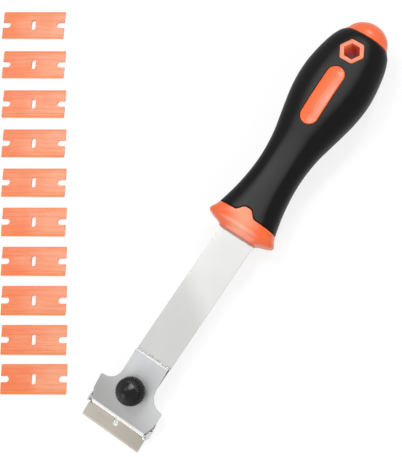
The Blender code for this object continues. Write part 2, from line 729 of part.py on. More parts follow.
def grown(outline, distance):
    """The outline moved outwards by a distance, for one that runs anticlockwise."""
    points = []
    for index, here in enumerate(outline):
        before = (here - outline[index - 1]).normalized()
        after = (outline[(index + 1) % len(outline)] - here).normalized()
        normal = Vector((before.y + after.y, -before.x - after.x)).normalized()
        points.append(here + normal * (distance / normal.dot(Vector((before.y, -before.x)))))
    return points


def stadium(middle_x, length, width):
    """Plan of a long slot with round ends, its long side along X."""
    radius = width / 2
    return rounded(mirrored([(middle_x + length / 2, radius, radius - GAP / 3),
                             (middle_x - length / 2, radius, radius - GAP / 3)]), steps=6)


def eye_face(x, outward):
    """Height at x of the eye's flat rim, which slopes with the handle; outward is 1 on top, -1 below."""
    middle = BUTT_X + EYE_TO_BUTT
    ends = (middle - EYE_OUTER_FLATS / 2, middle + EYE_OUTER_FLATS / 2)
    heights = [handle_section(end)[1] for end in ends]
    slope = (heights[1] - heights[0]) / (ends[1] - ends[0])
    return HANDLE_AXIS + outward * (heights[0] + EYE_PROUD + slope * (x - ends[0]))


def eye_prism(name, flats, radius, grow):
    """Hexagonal prism through the handle, its ends on the eye's rims or, grown, past them."""
    outline = hexagon(BUTT_X + EYE_TO_BUTT, 0, flats, radius)
    return loft(name, [[(x, y, eye_face(x, outward) + outward * grow) for x, y in outline]
                       for outward in (-1, 1)])


def make_core():
    """Hard core: guard, rod, tongue, inlay, hanging eye and butt cap in one moulding."""
    behind = GUARD_BACK_X - TONGUE_REACH - OVERRUN
    core = handle_body("handle_core", NOSE_X, behind)
    side = HANDLE_WIDTH / 2 + OVERRUN
    corners = [Vector((GUARD_BACK_X, side)), Vector((behind - OVERRUN, side)),
               Vector((behind - OVERRUN, -side)), Vector((GUARD_BACK_X, -side))]
    combine(core, flat_sheet("beside_tongue", [corners + tongue_outline(GUARD_BACK_X)[::-1]],
                             -OVERRUN, HANDLE_THICKNESS + OVERRUN), "DIFFERENCE")
    combine(core, block("under_tongue", (behind - OVERRUN, -side, -OVERRUN),
                        (GUARD_BACK_X, side, HANDLE_AXIS)), "DIFFERENCE")
    rod_front, rod_back = GRIP_FRONT_X + OVERRUN, GRIP_BACK_X - OVERRUN / 2
    combine(core, handle_body("core_rod", rod_front, rod_back, RUBBER_WALL), "UNION")
    combine(core, handle_body("core_cap", CAP_FRONT_X, BUTT_X), "UNION")
    inlay_x = BUTT_X + INLAY_TO_BUTT
    inlay = handle_body("core_inlay", inlay_x + INLAY_LENGTH / 2 + OVERRUN, inlay_x - INLAY_LENGTH / 2 - OVERRUN)
    outline = flat_sheet("inlay_plan", [stadium(inlay_x, INLAY_LENGTH, INLAY_WIDTH)], HANDLE_AXIS, HANDLE_THICKNESS + OVERRUN)
    combine(core, combine(inlay, outline, "INTERSECT"), "UNION")
    combine(core, eye_prism("eye_boss", EYE_OUTER_FLATS, EYE_OUTER_RADIUS, 0), "UNION")
    combine(core, eye_prism("eye_hole", EYE_INNER_FLATS, EYE_INNER_RADIUS, OVERRUN), "DIFFERENCE")
    floor, ceiling = SHANK_TOP - STRIP_THICKNESS - GAP, SHANK_TOP + GAP
    shank, tang = SHANK_WIDTH / 2 + GAP, TANG_WIDTH / 2 + GAP
    combine(core, block("shank_mouth", (NOSE_X - TANG_SHOULDER - GAP, -shank, floor),
                        (NOSE_X + OVERRUN, shank, ceiling)), "DIFFERENCE")
    combine(core, block("tang_pocket", (NOSE_X - TANG_LENGTH - GAP, -tang, floor),
                        (NOSE_X - TANG_SHOULDER + OVERRUN / 2, tang, ceiling)), "DIFFERENCE")
    return finish(core, CORE_PLASTIC, TOOL)


def make_grip():
    """Soft sleeve over the core, with windows for the tongue, the inlay and the eye."""
    grip = handle_body("rubber_grip", GRIP_FRONT_X - GAP / 2, GRIP_BACK_X + GAP / 2)
    bore = handle_body("grip_bore", GRIP_FRONT_X + OVERRUN, GRIP_BACK_X - OVERRUN / 2, RUBBER_WALL - GAP)
    combine(grip, bore, "DIFFERENCE")
    top = HANDLE_THICKNESS + OVERRUN
    combine(grip, flat_sheet("tongue_window", [grown(tongue_outline(GRIP_FRONT_X + OVERRUN), GAP)],
                             HANDLE_AXIS, top), "DIFFERENCE")
    inlay = stadium(BUTT_X + INLAY_TO_BUTT, INLAY_LENGTH + GAP * 2, INLAY_WIDTH + GAP * 2)
    combine(grip, flat_sheet("inlay_window", [inlay], HANDLE_AXIS, top), "DIFFERENCE")
    combine(grip, eye_prism("eye_window", EYE_OUTER_FLATS + GAP * 2, EYE_OUTER_RADIUS + GAP, OVERRUN),
            "DIFFERENCE")
    return finish(grip, RUBBER, TOOL)


def make_loose_blades():
    """Ten double-edged plastic blades with a thick middle band, a slot and two side notches."""
    half_height = LOOSE_HEIGHT / 2
    half_band = LOOSE_BAND / 2
    upper = [(half_height, LOOSE_EDGE / 2), (half_height - LOOSE_BEVEL, LOOSE_FACE_THICKNESS / 2),
             (half_band + LOOSE_STEP, LOOSE_FACE_THICKNESS / 2), (half_band, LOOSE_THICKNESS / 2)]
    around = upper + [(-x, z) for x, z in reversed(upper)]
    section = around + [(x, -z) for x, z in reversed(around)]
    blank = across("loose_blank", section, LOOSE_LENGTH)
    half_length = LOOSE_LENGTH / 2
    notch = LOOSE_NOTCH_WIDTH / 2
    inner = half_length - LOOSE_NOTCH_DEPTH
    slot = [(LOOSE_SLOT_LENGTH / 2, LOOSE_SLOT_WIDTH / 2, LOOSE_SLOT_RADIUS),
            (-LOOSE_SLOT_LENGTH / 2, LOOSE_SLOT_WIDTH / 2, LOOSE_SLOT_RADIUS)]
    plan = flat_sheet("loose_plan", [rounded([
        (half_height + OVERRUN, half_length, 0),
        (notch, half_length, 0),
        (notch, inner, notch - GAP / 3),
        (-notch, inner, notch - GAP / 3),
        (-notch, half_length, 0),
        (-half_height - OVERRUN, half_length, 0),
        (-half_height - OVERRUN, -half_length, 0),
        (-notch, -half_length, 0),
        (-notch, -inner, notch - GAP / 3),
        (notch, -inner, notch - GAP / 3),
        (notch, -half_length, 0),
        (half_height + OVERRUN, -half_length, 0),
    ], steps=3), rounded(mirrored(slot), steps=3)], -LOOSE_THICKNESS, LOOSE_THICKNESS)
    combine(blank, plan, "INTERSECT")
    mesh = clean(evaluated_mesh(blank))
    bpy.data.objects.remove(blank)
    edge_x = KNEE_TOP_RADIUS * math.sin(HEAD_BEND) + HEAD_LENGTH * math.cos(HEAD_BEND)
    place = Vector((edge_x, -COLUMN_SIDE, LOOSE_THICKNESS / 2))
    heading = Vector((-math.cos(COLUMN_LEAN), -math.sin(COLUMN_LEAN), 0))
    pitch = COLUMN_PITCH
    for index in range(LOOSE_COUNT):
        blade = solid("plastic_blade_%02d" % (LOOSE_COUNT - index), mesh)
        blade.location = place
        blade.rotation_euler = (0, 0, COLUMN_TURN - COLUMN_FAN * index)
        blade.parent = COLUMN
        place = place + heading * pitch
        pitch *= COLUMN_GROWTH_SHARE
    mesh.materials.append(LOOSE_PLASTIC)
    mesh.shade_smooth()
    mesh.set_sharp_from_angle(angle=math.radians(20))


def centre_on_footprint():
    """Move everything so that the footprint's centre is the origin and the lowest point is on the bench."""
    bpy.context.view_layer.update()
    corners = [obj.matrix_world @ vert.co for obj in PIECES.objects if obj.type == "MESH"
               for vert in obj.data.vertices]
    low = [min(corner[axis] for corner in corners) for axis in range(3)]
    high = [max(corner[axis] for corner in corners) for axis in range(3)]
    SET.location = (-(low[0] + high[0]) / 2, -(low[1] + high[1]) / 2, -low[2])


for old in list(bpy.data.objects):
    bpy.data.objects.remove(old, do_unlink=True)

PIECES = collection("razor_scraper")
CUTTERS = collection("cutters")

STEEL = material("stamped steel", (0.60, 0.60, 0.59), 0.28, 1)
BLADE_STEEL = material("blade steel", (0.53, 0.50, 0.43), 0.35, 1)
SPINE_STEEL = material("spine steel", (0.45, 0.45, 0.44), 0.30, 1)
SCREW_STEEL = material("zinc plated steel", (0.62, 0.62, 0.60), 0.25, 1)
KNOB_PLASTIC = material("black knob plastic", (0.025, 0.025, 0.027), 0.35, 0)
CORE_PLASTIC = material("orange plastic", (1.0, 0.17, 0.05), 0.35, 0)
RUBBER = material("black rubber", (0.018, 0.018, 0.019), 0.60, 0)
LOOSE_PLASTIC = material("salmon plastic", (0.95, 0.36, 0.20), 0.40, 0)

SET = empty("scraper_set", None, (0, 0, 0))
TOOL = empty("tool", SET, (0, 0, 0))
COLUMN = empty("blade_column", SET, (0, 0, 0))
KNEE_END = (KNEE_TOP_RADIUS * math.sin(HEAD_BEND), 0, SHANK_TOP - KNEE_TOP_RADIUS * (1 - math.cos(HEAD_BEND)))
HEAD = empty("head", TOOL, KNEE_END, HEAD_BEND)
CLAMP = empty("clamp_axis", HEAD, (head_x(SCREW_SETBACK), 0, 0))

make_base_plate()
make_blade()
make_spine()
make_cover()
make_nut()
make_washer()
make_screw()
make_knob()
make_core()
make_grip()
make_loose_blades()
centre_on_footprint()
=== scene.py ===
import math

import bmesh
import bpy
from mathutils import Euler, Matrix, Vector


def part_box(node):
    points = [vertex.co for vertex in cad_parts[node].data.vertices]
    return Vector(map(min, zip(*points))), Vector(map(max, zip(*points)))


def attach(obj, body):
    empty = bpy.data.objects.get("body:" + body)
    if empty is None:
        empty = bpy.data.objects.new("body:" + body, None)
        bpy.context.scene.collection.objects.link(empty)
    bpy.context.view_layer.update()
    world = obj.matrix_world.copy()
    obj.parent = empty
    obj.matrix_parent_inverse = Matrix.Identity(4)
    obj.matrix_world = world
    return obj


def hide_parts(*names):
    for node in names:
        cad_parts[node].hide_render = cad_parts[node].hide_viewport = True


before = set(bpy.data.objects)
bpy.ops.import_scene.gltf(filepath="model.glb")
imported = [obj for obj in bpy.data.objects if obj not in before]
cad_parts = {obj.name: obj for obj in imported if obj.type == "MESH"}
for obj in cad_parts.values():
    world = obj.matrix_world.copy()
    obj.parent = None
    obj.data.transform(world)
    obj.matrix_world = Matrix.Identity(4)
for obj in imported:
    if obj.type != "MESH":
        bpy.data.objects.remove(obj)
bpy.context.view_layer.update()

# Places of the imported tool, in metres
CORE_LOW, CORE_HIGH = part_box("handle_core")
TOOL_Y = (CORE_LOW.y + CORE_HIGH.y) / 2
NOSE_X = CORE_HIGH.x
BUTT_X = CORE_LOW.x
FLOOR_Z = -0.0001
WELD = 0.000001
GAP = 0.0003

# Edges sharper than this stay sharp in the shading, on plain forms and on rounded ones. Edges of
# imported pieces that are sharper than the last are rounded
SHARP_EDGE = math.radians(40)
SHARP_ON_ROUNDED = math.radians(50)
ROUNDED_FROM = math.radians(32)

# Handle
HANDLE_LENGTH = NOSE_X - BUTT_X
HANDLE_WIDTH = 0.0440
HANDLE_THICKNESS = 0.0324
SHANK_TOP = 0.01195
SHANK_THICKNESS = 0.0012
SHANK_HALF_WIDTH = 0.01135
SHANK_MIDDLE = SHANK_TOP - SHANK_THICKNESS / 2
HANDLE_AXIS = HANDLE_THICKNESS / 2
GUARD_LENGTH = 0.0115
CAP_LENGTH = 0.0115
SLEEVE_WALL = 0.0030
GUARD_BACK_X = NOSE_X - GUARD_LENGTH
CAP_FRONT_X = BUTT_X + CAP_LENGTH
GUARD_SHOULDER_X = GUARD_BACK_X + 0.0040
RING_STEP = 0.0011
RING_POINTS = 144
SLEEVE_SETTLE_LENGTH = 0.0060
SLEEVE_INNER_START = 0.0001
SLEEVE_INNER_STEPS = 8
CAP_STEPS = 26
NOSE_SLOT_DEPTH = 0.0060
# Reach of the painted shade on the nose's rim
NOSE_RIM = 0.0010

# Tongue, inlay and eye on top of the handle
TONGUE_REACH = 0.0041
TONGUE_HALF_WIDTH = 0.0046
TONGUE_FLARE = 3.8
INLAY_LENGTH = 0.0375
INLAY_WIDTH = 0.0110
INLAY_X = BUTT_X + 0.0543
INLAY_DISH = 0.0008
INLAY_DEPTH = 0.0020
INLAY_FLAT_RADIUS = 0.0003
EYE_X = BUTT_X + 0.0244
EYE_OUTER_FLATS = 0.0134
EYE_INNER_FLATS = 0.0087
EYE_OUTER_RADIUS = 0.0014
EYE_INNER_RADIUS = 0.0006
EYE_PROUD = 0.0002

# Head, which leans forward by the bend in the strip
HEAD_BEND = math.radians(14)
# Turns of the painted reflection and shade on the strip, the cover and the blade
STRIP_SHADE_TURN = math.radians(35)
COVER_SHADE_TURN = math.radians(20)
BLADE_SHADE_TURN = math.radians(-90)
CLAMP_BASE = Vector((0.102172, TOOL_Y, 0.011906))
CLAMP_AXIS = Vector((math.sin(HEAD_BEND), 0, math.cos(HEAD_BEND)))
CLAMP_BASE_HEIGHT = 0.0055
# Where the cover's lip has its painted highlight, along the head
LIP_HIGHLIGHT_PLACE = (0.1130, 0.1150)

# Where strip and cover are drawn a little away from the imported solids, counted from the clamp's axis
# and the head's upper face
STRIP_STEP = -0.0206
SLOT_REAR = (-0.0222, -0.0215)
SLOT_HALF_WIDTH = 0.0044
SLOT_CLOSED_SHARE = 0.98
STRIP_INNER = 0.0112
STRIP_DRAW = 0.0011
NECK_MIDDLE = (-0.0063, 0.01995)
WING_REAR = 0.0060
HEEL_SETBACK = 0.0200
HEEL_FOOT = (0.00015, 0.00050)
HEEL_DROP = 0.00029

# Knob and stud. The stud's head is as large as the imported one, 2 mm wider than on a real 5 mm stud
KNOB_FLOOR = 0.0055
KNOB_RADIUS = 0.0083
KNOB_HEIGHT = 0.0115
KNOB_POCKET_DEPTH = 0.0042
FLUTE_COUNT = 36
FLUTE_DEPTH = 0.00075
FLUTE_ROUNDNESS = 0.7
POINTS_PER_FLUTE = 8
STUD_RADIUS = 0.0025
STUD_TIP = -0.0055
STUD_HEAD_FLATS = 0.0100
STUD_HEAD_FLOOR = 0.0062
STUD_HEAD_TOP = 0.0094
STUD_HEAD_CORNER = 0.0004
STUD_HEAD_BEVEL = 0.0004
STUD_HEAD_BEVEL_HEIGHT = 0.0001
STUD_CHAMFER_LENGTH = 0.0006
STUD_CHAMFER_DEPTH = 0.0005
STUD_POINTS = 48
THREAD_PITCH = 0.0008
THREAD_DEPTH = 0.00032
THREAD_RUN_OUT = 0.0008
THREAD_STEPS = 12

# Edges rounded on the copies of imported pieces
STAMPED_EDGE = 0.00012
SPINE_EDGE = 0.00006
WASHER_EDGE = 0.00010
NUT_EDGE = 0.00020
LOOSE_BLADE_EDGE = 0.00008

# Handle sections from nose to butt: place along the length, width, thickness, lift of the middle
# from the shank's line to the handle's axis, and squareness (2 is an ellipse)
HANDLE_SECTION_SHARES = (
    (0.0000, 0.541, 0.310, 0.00, 5.0),
    (0.0055, 0.543, 0.400, 0.02, 4.5),
    (0.0104, 0.573, 0.460, 0.05, 4.2),
    (0.0166, 0.723, 0.530, 0.10, 3.4),
    (0.0242, 0.891, 0.610, 0.17, 3.0),
    (0.0331, 0.973, 0.685, 0.23, 2.8),
    (0.0456, 0.959, 0.745, 0.29, 2.8),
    (0.0608, 0.893, 0.765, 0.34, 2.7),
    (0.0829, 0.839, 0.770, 0.39, 2.6),
    (0.1133, 0.787, 0.765, 0.43, 2.5),
    (0.1547, 0.725, 0.753, 0.47, 2.45),
    (0.2027, 0.673, 0.735, 0.52, 2.4),
    (0.2579, 0.632, 0.716, 0.58, 2.4),
    (0.3204, 0.619, 0.710, 0.66, 2.4),
    (0.3757, 0.640, 0.735, 0.74, 2.4),
    (0.4309, 0.689, 0.784, 0.82, 2.4),
    (0.4862, 0.770, 0.852, 0.90, 2.4),
    (0.5483, 0.865, 0.926, 0.96, 2.4),
    (0.6105, 0.948, 0.975, 1.00, 2.4),
    (0.6657, 0.991, 1.000, 1.00, 2.4),
    (0.7141, 1.000, 1.000, 1.00, 2.4),
    (0.7617, 0.977, 0.985, 1.00, 2.4),
    (0.8170, 0.918, 0.950, 1.00, 2.4),
    (0.8667, 0.841, 0.895, 1.00, 2.35),
    (0.9033, 0.743, 0.815, 1.00, 2.3),
    (0.9158, 0.684, 0.765, 1.00, 2.25),
    (0.9206, 0.659, 0.742, 1.00, 2.2),
    (0.9337, 0.605, 0.685, 1.00, 2.2),
    (0.9517, 0.550, 0.630, 1.00, 2.15),
    (0.9679, 0.473, 0.545, 1.00, 2.1),
    (0.9820, 0.364, 0.420, 1.00, 2.0),
    (0.9931, 0.218, 0.250, 1.00, 2.0),
    (1.0000, 0.000, 0.000, 1.00, 2.0),
)

# Rounded edges, as steps along the handle and steps below its skin
RUBBER_EDGE = ((0.00005, 0.0026), (0.00000, 0.00060), (0.00004, 0.00030), (0.00018, 0.00010),
               (0.00045, 0.00002), (0.00080, 0.0))
PLASTIC_EDGE = ((0.00005, 0.0026), (0.00000, 0.00070), (0.00004, 0.00040), (0.00016, 0.00018),
                (0.00038, 0.00006), (0.00070, 0.00001), (0.00110, 0.0))
NOSE_EDGE = ((0.0, 0.0016), (0.00002, 0.0008), (0.00010, 0.00045), (0.00028, 0.00018),
             (0.00055, 0.00004), (0.00090, 0.0))

# Rounded edges of the inlay, as steps inwards and heights over its place, and of the eye, as steps off
# its outer or inner flats and how far below its rim
INLAY_EDGE = ((0, -INLAY_DEPTH), (0, -0.00035), (0.00004, -0.00018), (0.00014, -0.00006), (0.00030, 0.0))
INLAY_DISH_STEPS = (0.0006, 0.0010, 0.0015, 0.0021, 0.0028, 0.0036, 0.0044)
EYE_OUTER_EDGE = ((0.0, 0.0060), (0.0, 0.00045), (0.00006, 0.00022), (0.00024, 0.00007), (0.00060, 0.0))
EYE_INNER_EDGE = ((0.00070, 0.0), (0.00034, 0.00006), (0.00010, 0.00024), (0.0, 0.00055),
                  (0.0, 0.0040), (0.0, 0.0110))

# Knob side and cap: height share, radius share, depth of the flutes
KNOB_RING_SHARES = (
    (0.000, 0.900, 0.0), (0.009, 0.940, 0.4), (0.024, 0.970, 0.8), (0.047, 0.990, 1.0),
    (0.085, 1.000, 1.0), (0.170, 0.999, 1.0), (0.273, 0.993, 1.0), (0.366, 0.980, 1.0),
    (0.452, 0.957, 1.0), (0.545, 0.912, 1.0), (0.604, 0.862, 1.0), (0.650, 0.805, 0.9),
    (0.685, 0.752, 0.7), (0.711, 0.708, 0.4), (0.725, 0.680, 0.12), (0.734, 0.664, 0.0),
    (0.746, 0.650, 0.0), (0.784, 0.592, 0.0), (0.825, 0.520, 0.0), (0.872, 0.430, 0.0),
    (0.913, 0.340, 0.0), (0.950, 0.245, 0.0), (0.979, 0.150, 0.0), (0.995, 0.070, 0.0),
)

# Camera, fitted to the photograph
CAMERA_LENS = 111.94
CAMERA_SENSOR = 36
CAMERA_AIM = Vector((0.00375, 0.06839, 0))
CAMERA_DISTANCE = 0.72075
CAMERA_YAW = math.radians(1.08)
CAMERA_ROLL = math.radians(15.196)
CAMERA_PITCH = math.radians(6.217)
PICTURE_TURN = math.radians(33.2)

# Lamps: name, place, what it points at, width, watts, and whether gloss shows it
LAMPS = (
    ("soft_lamp", (0, 0.08, 1.15), (0, 0.06, 0), 1.00, 1.2, False),
    ("right_lamp", (0.05, 1.00, 0.62), (0, 0.08, 0), 0.60, 4.6, False),
    ("key_lamp", (-0.21, -0.43, 1.01), (0, 0.09, 0), 0.38, 4.4, True),
    ("front_lamp", (0.94, -0.16, 0.28), (0, 0.09, 0.015), 0.50, 3.0, True),
    ("back_lamp", (-0.76, 0.00, 0.62), (0.02, 0.09, 0.015), 0.12, 1.8, True),
)

# Floor and room
FLOOR_HALF_WIDTH = 2.0
FLOOR_GREY = 0.27
FLOOR_GLOW = 0.78
CONTACT_SHADE_REACH = 0.04
CONTACT_SHADE = (0.02, 0.22)
ROOM_LIGHT = 0.25
WHITE = (1, 1, 1, 1)

# Depths of the bumps in the finishes, and how much of the painted shade's colour
# the nose's rim takes on
GRAIN_DEPTH = 0.00004
LINE_DEPTH = 0.00002
NOSE_SHADE_SHARE = 0.85


def spline_value(column, share):
    """Smooth value of one column of the handle's sections at a share of its length."""
    rows = HANDLE_SECTION_SHARES
    last = len(rows) - 1
    index = max(i for i in range(last) if rows[i][0] <= share or i == 0)
    before, low, high, after = (rows[min(max(i, 0), last)] for i in range(index - 1, index + 3))
    span = high[0] - low[0]
    slope_low = (high[column] - before[column]) / (high[0] - before[0]) * span
    slope_high = (after[column] - low[column]) / (after[0] - low[0]) * span
    t = (share - low[0]) / span
    return (low[column] * (2 * t ** 3 - 3 * t ** 2 + 1) + slope_low * (t ** 3 - 2 * t ** 2 + t)
            + high[column] * (3 * t ** 2 - 2 * t ** 3) + slope_high * (t ** 3 - t ** 2))


def handle_section(x):
    """Half width, half thickness, middle height and squareness of the handle at x."""
    share = min(max((NOSE_X - x) / HANDLE_LENGTH, 0), 1)
    middle = SHANK_MIDDLE + (HANDLE_AXIS - SHANK_MIDDLE) * spline_value(3, share)
    return (HANDLE_WIDTH / 2 * spline_value(1, share), HANDLE_THICKNESS / 2 * spline_value(2, share),
            middle, spline_value(4, share))


def skin_point(x, turn, depth=0):
    """Point on the handle's skin at x and a turn about its axis, or below it."""
    half_width, half_thickness, middle, squareness = handle_section(x)
    across, up = math.cos(turn), math.sin(turn)
    reach = (abs(across) ** squareness + abs(up) ** squareness) ** (-1 / squareness)
    return Vector((x, TOOL_Y + max(half_width - depth, WELD) * across * reach,
                   middle + max(half_thickness - depth, WELD) * up * reach))


def skin_height(x, y):
    """Height of the handle's top over x and y."""
    half_width, half_thickness, middle, squareness = handle_section(x)
    share = min(abs(y - TOOL_Y) / half_width, 1)
    return middle + half_thickness * (1 - share ** squareness) ** (1 / squareness)


def guard_line(turn):
    """Where the orange guard meets the rubber at a turn: square round, with the tongue on top."""
    if math.sin(turn) <= 0:
        return GUARD_BACK_X
    off_middle = abs(skin_point(GUARD_BACK_X, turn).y - TOOL_Y)
    return GUARD_BACK_X - TONGUE_REACH * math.exp(-(off_middle / TONGUE_HALF_WIDTH) ** TONGUE_FLARE)


def turns(count=RING_POINTS):
    return [2 * math.pi * step / count for step in range(count)]


def add_ring(work, points):
    """Ring of edges in the mesh, laid through the points."""
    verts = bmesh.ops.create_circle(work, segments=len(points), radius=1)["verts"]
    for vert, point in zip(verts, points):
        vert.co = point
    return verts


def skin_over(name, rings, start="open", end="open"):
    """Piece whose skin runs over rings of points. An end is open, filled, drawn to a point, or joined."""
    work = bmesh.new()
    laid = [add_ring(work, ring) for ring in rings]
    edges = [list({edge for vert in verts for edge in vert.link_edges}) for verts in laid]
    pairs = list(zip(edges, edges[1:]))
    if end == "joined":
        pairs.append((edges[-1], edges[0]))
    for here, following in pairs:
        bmesh.ops.bridge_loops(work, edges=here + following)
    for kind, verts, loop in ((start, laid[0], edges[0]), (end, laid[-1], edges[-1])):
        if kind == "filled":
            bmesh.ops.contextual_create(work, geom=loop)
        if kind == "point":
            middle = sum((vert.co for vert in verts), Vector()) / len(verts)
            bmesh.ops.pointmerge(work, verts=verts, merge_co=middle)
    return piece_from(work, name)


def piece_from(work, name, sharp=SHARP_EDGE):
    """Object made from the mesh, its faces outwards, smooth but for its sharp edges."""
    bmesh.ops.remove_doubles(work, verts=work.verts, dist=WELD)
    bmesh.ops.dissolve_degenerate(work, edges=work.edges, dist=WELD)
    bmesh.ops.recalc_face_normals(work, faces=work.faces)
    for face in work.faces:
        face.smooth = True
    for edge in work.edges:
        edge.smooth = len(edge.link_faces) == 2 and edge.calc_face_angle() < sharp
    mesh = bpy.data.meshes.new(name)
    work.to_mesh(mesh)
    work.free()
    piece = bpy.data.objects.new(name, mesh)
    bpy.context.scene.collection.objects.link(piece)
    return piece


def combined(piece, operation, others, sharp=SHARP_EDGE):
    """The piece with the others' forms joined on (UNION) or taken out of it (DIFFERENCE)."""
    for other in others:
        step = piece.modifiers.new("combined", "BOOLEAN")
        step.operation = operation
        step.solver = "EXACT"
        step.object = other
    bpy.context.view_layer.update()
    shown = piece.evaluated_get(bpy.context.evaluated_depsgraph_get())
    work = bmesh.new()
    work.from_mesh(shown.to_mesh())
    shown.to_mesh_clear()
    name = piece.name
    for used in [piece, *others]:
        bpy.data.objects.remove(used)
    return piece_from(work, name, sharp)


def rounded_outline(corners, steps=6, sides=1):
    """Closed outline with an arc at each corner (x, y, radius) and points along its straight sides."""
    arcs = []
    for index, (x, y, radius) in enumerate(corners):
        here = Vector((x, y))
        back = (Vector(corners[index - 1][:2]) - here).normalized()
        ahead = (Vector(corners[(index + 1) % len(corners)][:2]) - here).normalized()
        half = back.angle(ahead) / 2
        middle = here + (back + ahead).normalized() * (radius / math.sin(half))
        first = here + back * (radius / math.tan(half)) - middle
        last = here + ahead * (radius / math.tan(half)) - middle
        swing = first.angle_signed(last)
        arcs.append([middle + Matrix.Rotation(-swing * step / steps, 2) @ first
                     for step in range(steps + 1)])
    outline = []
    for index, arc in enumerate(arcs):
        following = arcs[(index + 1) % len(arcs)][0]
        outline += arc
        outline += [arc[-1].lerp(following, step / sides) for step in range(1, sides)]
    return outline


def hexagon(flats, radius, x=0, y=0, sides=1):
    """Outline of a hexagon with corners to both sides of the tool."""
    reach = flats / math.sqrt(3)
    corners = [math.pi / 2 + math.pi / 3 * corner for corner in range(6)]
    return rounded_outline([(x + reach * math.cos(turn), y + reach * math.sin(turn), radius)
                            for turn in corners], sides=sides)


def stadium(length, radius, x, arc_steps=20, straight_steps=26):
    """Outline of a long slot with round ends about the tool's middle line."""
    half = length / 2
    outline = []
    for side in (1, -1):
        for step in range(arc_steps):
            turn = side * math.pi / 2 - math.pi * step / arc_steps
            outline.append(Vector((x + side * half + radius * math.cos(turn),
                                   TOOL_Y + radius * math.sin(turn))))
        for step in range(straight_steps):
            along = side * half * (1 - 2 * step / straight_steps)
            outline.append(Vector((x + along, TOOL_Y - side * radius)))
    return outline


def prism(name, outline, low, high):
    return skin_over(name, [[(p.x, p.y, z) for p in outline] for z in (low, high)], "filled", "filled")


def block(name, low, high):
    """Box between two corners."""
    work = bmesh.new()
    bmesh.ops.create_cube(work, size=1)
    bmesh.ops.scale(work, vec=Vector(high) - Vector(low), verts=work.verts)
    bmesh.ops.translate(work, vec=(Vector(high) + Vector(low)) / 2, verts=work.verts)
    return piece_from(work, name)


def stations(front_x, back_x):
    count = math.ceil((front_x - back_x) / RING_STEP)
    return [front_x + (back_x - front_x) * step / count for step in range(1, count)]


def make_guard():
    """Orange guard: collar round the shank, flare, and the tongue that runs into the rubber."""
    round_turns = turns()
    rings = [[skin_point(NOSE_X - along, turn, depth) for turn in round_turns]
             for along, depth in NOSE_EDGE]
    rings += [[skin_point(x, turn) for turn in round_turns]
              for x in stations(NOSE_X - NOSE_EDGE[-1][0], GUARD_SHOULDER_X) + [GUARD_SHOULDER_X]]
    lines = [guard_line(turn) + GAP / 2 for turn in round_turns]
    edge_start = PLASTIC_EDGE[-1][0]
    for share in (0.25, 0.5, 0.75):
        rings.append([skin_point(GUARD_SHOULDER_X + (line + edge_start - GUARD_SHOULDER_X) * share, turn)
                      for line, turn in zip(lines, round_turns)])
    for along, depth in reversed(PLASTIC_EDGE):
        rings.append([skin_point(line + along, turn, depth) for line, turn in zip(lines, round_turns)])
    guard = skin_over("guard", rings, "filled", "filled")
    slot_floor = SHANK_TOP - SHANK_THICKNESS - GAP
    slot = block("slot", (NOSE_X - NOSE_SLOT_DEPTH, TOOL_Y - SHANK_HALF_WIDTH - GAP, slot_floor),
                 (NOSE_X + NOSE_SLOT_DEPTH, TOOL_Y + SHANK_HALF_WIDTH + GAP, SHANK_TOP + GAP))
    return combined(guard, "DIFFERENCE", [slot])


def make_sleeve():
    """Black rubber sleeve with its windows for inlay and eye."""
    round_turns = turns()
    lines = [guard_line(turn) - GAP / 2 for turn in round_turns]
    back = CAP_FRONT_X + GAP / 2
    rings = [[skin_point(line - along, turn, depth) for line, turn in zip(lines, round_turns)]
             for along, depth in RUBBER_EDGE]
    edge_end = RUBBER_EDGE[-1][0]
    settled = GUARD_BACK_X - TONGUE_REACH - SLEEVE_SETTLE_LENGTH
    for share in (0.1, 0.2, 0.32, 0.45, 0.6, 0.8):
        rings.append([skin_point(line - edge_end + (settled - line + edge_end) * share, turn)
                      for line, turn in zip(lines, round_turns)])
    last = back + edge_end
    rings += [[skin_point(x, turn) for turn in round_turns] for x in [settled] + stations(settled, last)]
    rings += [[skin_point(back + along, turn, depth) for turn in round_turns]
              for along, depth in reversed(RUBBER_EDGE)]
    inner = [back + SLEEVE_INNER_START + (settled - back) * step / SLEEVE_INNER_STEPS
             for step in range(SLEEVE_INNER_STEPS + 1)]
    rings += [[skin_point(x, turn, SLEEVE_WALL) for turn in round_turns] for x in inner]
    sleeve = skin_over("grip_sleeve", rings, end="joined")
    inlay_outline = stadium(INLAY_LENGTH - INLAY_WIDTH, INLAY_WIDTH / 2 + GAP / 2, INLAY_X)
    inlay_window = prism("inlay_window", inlay_outline, HANDLE_AXIS, HANDLE_THICKNESS + GAP)
    eye_window = prism("eye_window", hexagon(EYE_OUTER_FLATS + GAP, EYE_OUTER_RADIUS, EYE_X, TOOL_Y),
                       -GAP, HANDLE_THICKNESS + GAP)
    return combined(sleeve, "DIFFERENCE", [inlay_window, eye_window])


def make_cap():
    """Orange cap that closes the butt."""
    round_turns = turns()
    front = CAP_FRONT_X - GAP / 2
    rings = [[skin_point(front - along, turn, depth) for turn in round_turns]
             for along, depth in PLASTIC_EDGE]
    start = front - PLASTIC_EDGE[-1][0]
    for step in range(1, CAP_STEPS):
        share = math.sin(math.pi / 2 * step / CAP_STEPS)
        rings.append([skin_point(start + (BUTT_X - start) * share, turn) for turn in round_turns])
    return skin_over("butt_cap", rings, "filled", "point")


